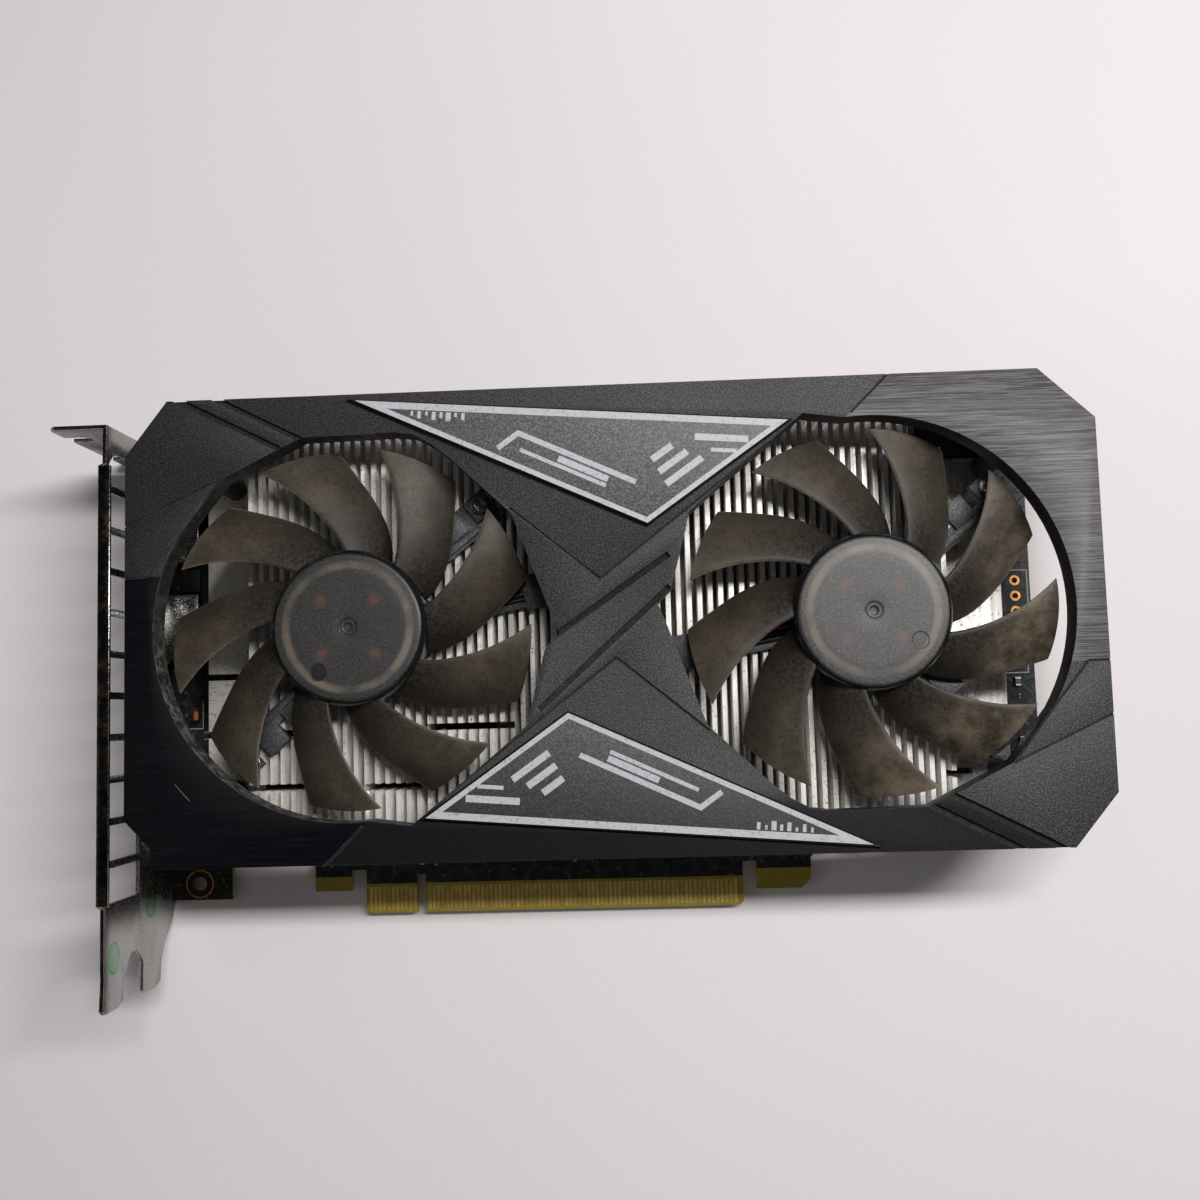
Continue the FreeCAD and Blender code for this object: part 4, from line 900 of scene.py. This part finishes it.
def badge_lines():
    """A generic pattern of ticks and slanted bars, as pairs of line and width."""
    first, second, third = BADGE_CORNERS
    along = (third - first).normalized()
    down = Vector((along.y, -along.x))
    slope = (second - first).normalized()
    rise = (third - second).normalized()

    def at(right, below):
        """A point measured along the long side and in from it."""
        return first + along * right + down * below

    lines = []
    for number, (length, width) in enumerate(TICKS):
        start = at(TICK_START + TICK_PITCH * number, TICK_MARGIN)
        lines.append(([start, start + down * length], width))
    bar = at(36.0, 5.6)
    lines.append(([bar - rise * 5.2, bar, bar + slope * 26.0], 1.1))
    for start, length, width in ((bar + down * 3.2 + slope * 0.6, 19.0, 0.8),
                                 (bar + down * 1.75 + slope * 9.0, 11.0, 1.3)):
        lines.append(([start, start + slope * length], width))
    for step in range(3):
        start = at(73.5, 8.9) - slope * 3.3 * step
        lines.append(([start, start - rise * (9.0 - 2.0 * step)], 1.4))
    lines.append(([at(71.8, 4.7), at(82.6, 4.7)], 1.4))
    lines.append(([at(75.2, 7.2), at(80.4, 7.2)], 0.8))
    return lines


def print_badge(name, flip):
    """The print on one badge; flip is -1 for the badge half a turn away."""
    work = bmesh.new()
    print_border(work, flip)
    for number, (points, width) in enumerate(badge_lines()):
        ribbon(work, [point * flip for point in points], width, PRINT_LEVEL + PRINT_STEP * number)
    bmesh.ops.recalc_face_normals(work, faces=work.faces)
    finish_mesh(work, name, [PRINT_LOOK], "card", smooth=False)


print_badge("upper_badge_print", 1)
print_badge("lower_badge_print", -1)


# ---- small parts and print on the board ----

PASSIVE_LOOKS = (CERAMIC_LOOK, CHIP_LOOK, TIN_LOOK)
CERAMIC, CHIP, TIN = range(3)  # material numbers on the passives
END_SHARE = 0.24  # share of a passive's length that each tinned end takes
BODY_INSET = 0.03  # the body between the ends is drawn in this much at front, back and top
PASSIVE_PITCH = 3.1
PASSIVE_SEED = 11
PASSIVE_SIZES = ((1.6, 0.8, 0.7), (1.0, 0.5, 0.45), (2.0, 1.25, 0.9))  # length, width, height
GAP_SHARE = 0.3  # share of places left empty
BOARD_STRIPS = [  # left, front, right and back of the strips of board that hold passives
    (88.0, -46.0, 93.0, -3.0), (88.2, 12.0, 93.4, 40.0), (-95.0, -30.0, -92.6, -20.0),
    (-84.0, -43.4, -70.0, -40.6), (-30.0, -43.0, 40.0, -40.4), (-60.0, 40.2, -16.0, 43.2),
    (10.0, 40.2, 60.0, 43.2), (-56.0, -52.2, 26.0, -49.0)]
PLATED_HOLES = [  # middle, and inner and outer radius of the plating
    ((-96.2, -55.3), 2.9, 3.2), ((91.2, 1.3), 0.65, 1.15), ((91.2, 4.8), 0.65, 1.15),
    ((91.2, 8.3), 0.65, 1.15)]
PLATING_SIDES = 40
SILK_WIDTH, SILK_THICK = 0.22, 0.02
SILK_LINES = [
    [(87.6, -1.0), (94.0, -1.0), (94.0, 10.6), (87.6, 10.6), (87.6, -1.0)],
    [(87.8, -12.6), (93.2, -12.6), (93.2, -7.4), (87.8, -7.4), (87.8, -12.6)],
    [(-60.0, -51.6), (-57.0, -49.2), (28.0, -49.2)],
    [(46.6, -49.6), (93.6, -49.6), (93.6, -44.0)],
    [(-99.5, 18.6), (-95.0, 18.6)],
    [(-99.8, -20.0), (-95.4, -20.0), (-95.4, -13.6)]]


def add_box(work, low, high, material=0):
    """A closed box from its lowest corner to its highest, in millimetres."""
    corners = [work.verts.new(Vector((x, y, z)) * MM) for z in (low.z, high.z)
               for x, y in ((low.x, low.y), (high.x, low.y), (high.x, high.y), (low.x, high.y))]
    for quad in ((3, 2, 1, 0), (4, 5, 6, 7), (0, 1, 5, 4), (1, 2, 6, 5), (2, 3, 7, 6), (3, 0, 4, 7)):
        work.faces.new([corners[k] for k in quad]).material_index = material


def add_passive(work, x, y, size, upright, body):
    """A chip resistor or capacitor with tinned ends. body is its middle's material number."""
    length, width, tall = size
    level = BOARD_HIGH.z
    end_length = length * END_SHARE
    stops = (-length / 2, -length / 2 + end_length, length / 2 - end_length, length / 2)
    for start, end, material in zip(stops, stops[1:], (TIN, body, TIN)):
        low, high = (start, -width / 2), (end, width / 2)
        if upright:
            low, high = low[::-1], high[::-1]
        shrink = 0.0 if material == TIN else BODY_INSET
        add_box(work, on_card(x + low[0], y + low[1] + shrink, level),
                on_card(x + high[0], y + high[1] - shrink, level + tall - shrink), material)


def board_parts():
    """Rows of small parts along the strips of board that show past the cooler."""
    picker = random.Random(PASSIVE_SEED)
    work = bmesh.new()
    for left, front, right, back in BOARD_STRIPS:
        deep = (back - front) > (right - left)
        steps = int(max(right - left, back - front) / PASSIVE_PITCH)
        for number in range(steps):
            share = (number + 0.5) / steps
            if picker.random() < GAP_SHARE:
                continue
            x = left + (right - left) * (picker.uniform(0.2, 0.8) if deep else share)
            y = front + (back - front) * (share if deep else picker.uniform(0.2, 0.8))
            size = picker.choice(PASSIVE_SIZES)
            upright = picker.random() < 0.5
            add_passive(work, x, y, size, upright, picker.choice((CERAMIC, CERAMIC, CHIP)))
    bmesh.ops.bevel(work, geom=list(work.edges), offset=0.05 * MM, segments=1, affect="EDGES",
                    clamp_overlap=True)
    finish_mesh(work, "board_passives", PASSIVE_LOOKS, "card")


def washer(work, centre, inner, outer, level, thick):
    """A flat ring of plating round a hole."""
    middle = on_card(*centre)
    rings = [circle(work, middle, radius, level + lift, PLATING_SIDES)
             for radius, lift in ((inner, 0.0), (inner, thick), (outer, thick), (outer, 0.0))]
    for first, second in zip(rings, rings[1:] + rings[:1]):
        bridge(work, first, second)


def board_plating():
    """Plated rings round the open holes, on both faces of the board."""
    work = bmesh.new()
    for level, thick in ((BOARD_HIGH.z - 0.01, 0.04), (BOARD_LOW.z + 0.01, -0.04)):
        for centre, inner, outer in PLATED_HOLES:
            washer(work, centre, inner, outer, level, thick)
    bmesh.ops.recalc_face_normals(work, faces=work.faces)
    finish_mesh(work, "board_plating", [PLATED_LOOK], "card", smooth=False)


def board_silk():
    """Thin white lines printed round the parts on the open strips of the board."""
    work = bmesh.new()
    for points in SILK_LINES:
        ribbon(work, points, SILK_WIDTH, BOARD_HIGH.z - 0.005, SILK_THICK)
    bmesh.ops.recalc_face_normals(work, faces=work.faces)
    finish_mesh(work, "board_silk", [SILK_LOOK], "card", smooth=False)


def orange_part():
    """The small orange part that shows beside the left end plate."""
    work = bmesh.new()
    add_box(work, on_card(-97.1, -18.0, BOARD_HIGH.z + 1.1),
            on_card(-96.1, -16.0, BOARD_HIGH.z + 1.5))
    bmesh.ops.bevel(work, geom=list(work.edges), offset=0.12 * MM, segments=2, affect="EDGES")
    finish_mesh(work, "orange_part", [ORANGE_LOOK], "card")


board_parts()
board_plating()
board_silk()
orange_part()


# ---- table, light and camera; lengths here are metres ----

TABLE_REACH = 1.6
LIGHT_TARGET = Vector((0.0, 0.01, 0.02))
LIGHTS = [  # name, place, size, power in watts, tint
    ("key", (0.26, 0.20, 0.62), (0.50, 0.07), 4.7, (1.0, 0.985, 0.98)),
    ("fill_left", (-0.7, -0.1, 0.5), (0.5, 0.5), 0.4, (0.97, 0.98, 1.0)),
    ("front", (0.1, -0.8, 0.45), (0.8, 0.3), 0.22, (1.0, 0.99, 0.98))]
ROOM_COLOUR, ROOM_STRENGTH = (1.0, 0.97, 0.975, 1.0), 0.075
CAMERA_PLACE = Vector((16.789, -4.772, 297.302)) * MM
CAMERA_TURN = (4.9634, 2.4023, -1.6334)  # degrees
CAMERA_LENS, CAMERA_SENSOR = 38.607, 36.0  # millimetres


def make_table():
    work = bmesh.new()
    bmesh.ops.create_grid(work, x_segments=8, y_segments=8, size=TABLE_REACH)
    mesh = bpy.data.meshes.new("table_top")
    work.to_mesh(mesh)
    work.free()
    mesh.materials.append(table_material())
    table = bpy.data.objects.new("table_top", mesh)
    scene.collection.objects.link(table)


def area_light(name, place, size, power, tint):
    """A soft rectangular light that faces the card, its long side along the card."""
    data = bpy.data.lights.new(name, "AREA")
    data.shape = "RECTANGLE"
    data.size, data.size_y = size
    data.energy = power
    data.color = tint
    lamp = bpy.data.objects.new(name, data)
    lamp.location = Vector(place)
    back = (lamp.location - LIGHT_TARGET).normalized()
    right = (Vector((1, 0, 0)) - back * back.x).normalized()
    lamp.rotation_mode = "QUATERNION"
    lamp.rotation_quaternion = Matrix((right, back.cross(right), back)).transposed().to_quaternion()
    scene.collection.objects.link(lamp)


def make_world():
    world = bpy.data.worlds.new("room")
    world.use_nodes = True
    background = world.node_tree.nodes["Background"]
    background.inputs["Color"].default_value = ROOM_COLOUR
    background.inputs["Strength"].default_value = ROOM_STRENGTH
    scene.world = world


def make_camera():
    data = bpy.data.cameras.new("camera")
    data.sensor_width = CAMERA_SENSOR
    data.lens = CAMERA_LENS
    data.clip_start = 0.01
    camera = bpy.data.objects.new("camera", data)
    camera.location = CAMERA_PLACE
    camera.rotation_euler = [math.radians(angle) for angle in CAMERA_TURN]
    scene.collection.objects.link(camera)
    scene.camera = camera


make_table()
make_world()
for light in LIGHTS:
    area_light(*light)
scene.view_settings.view_transform = "Standard"
make_camera()
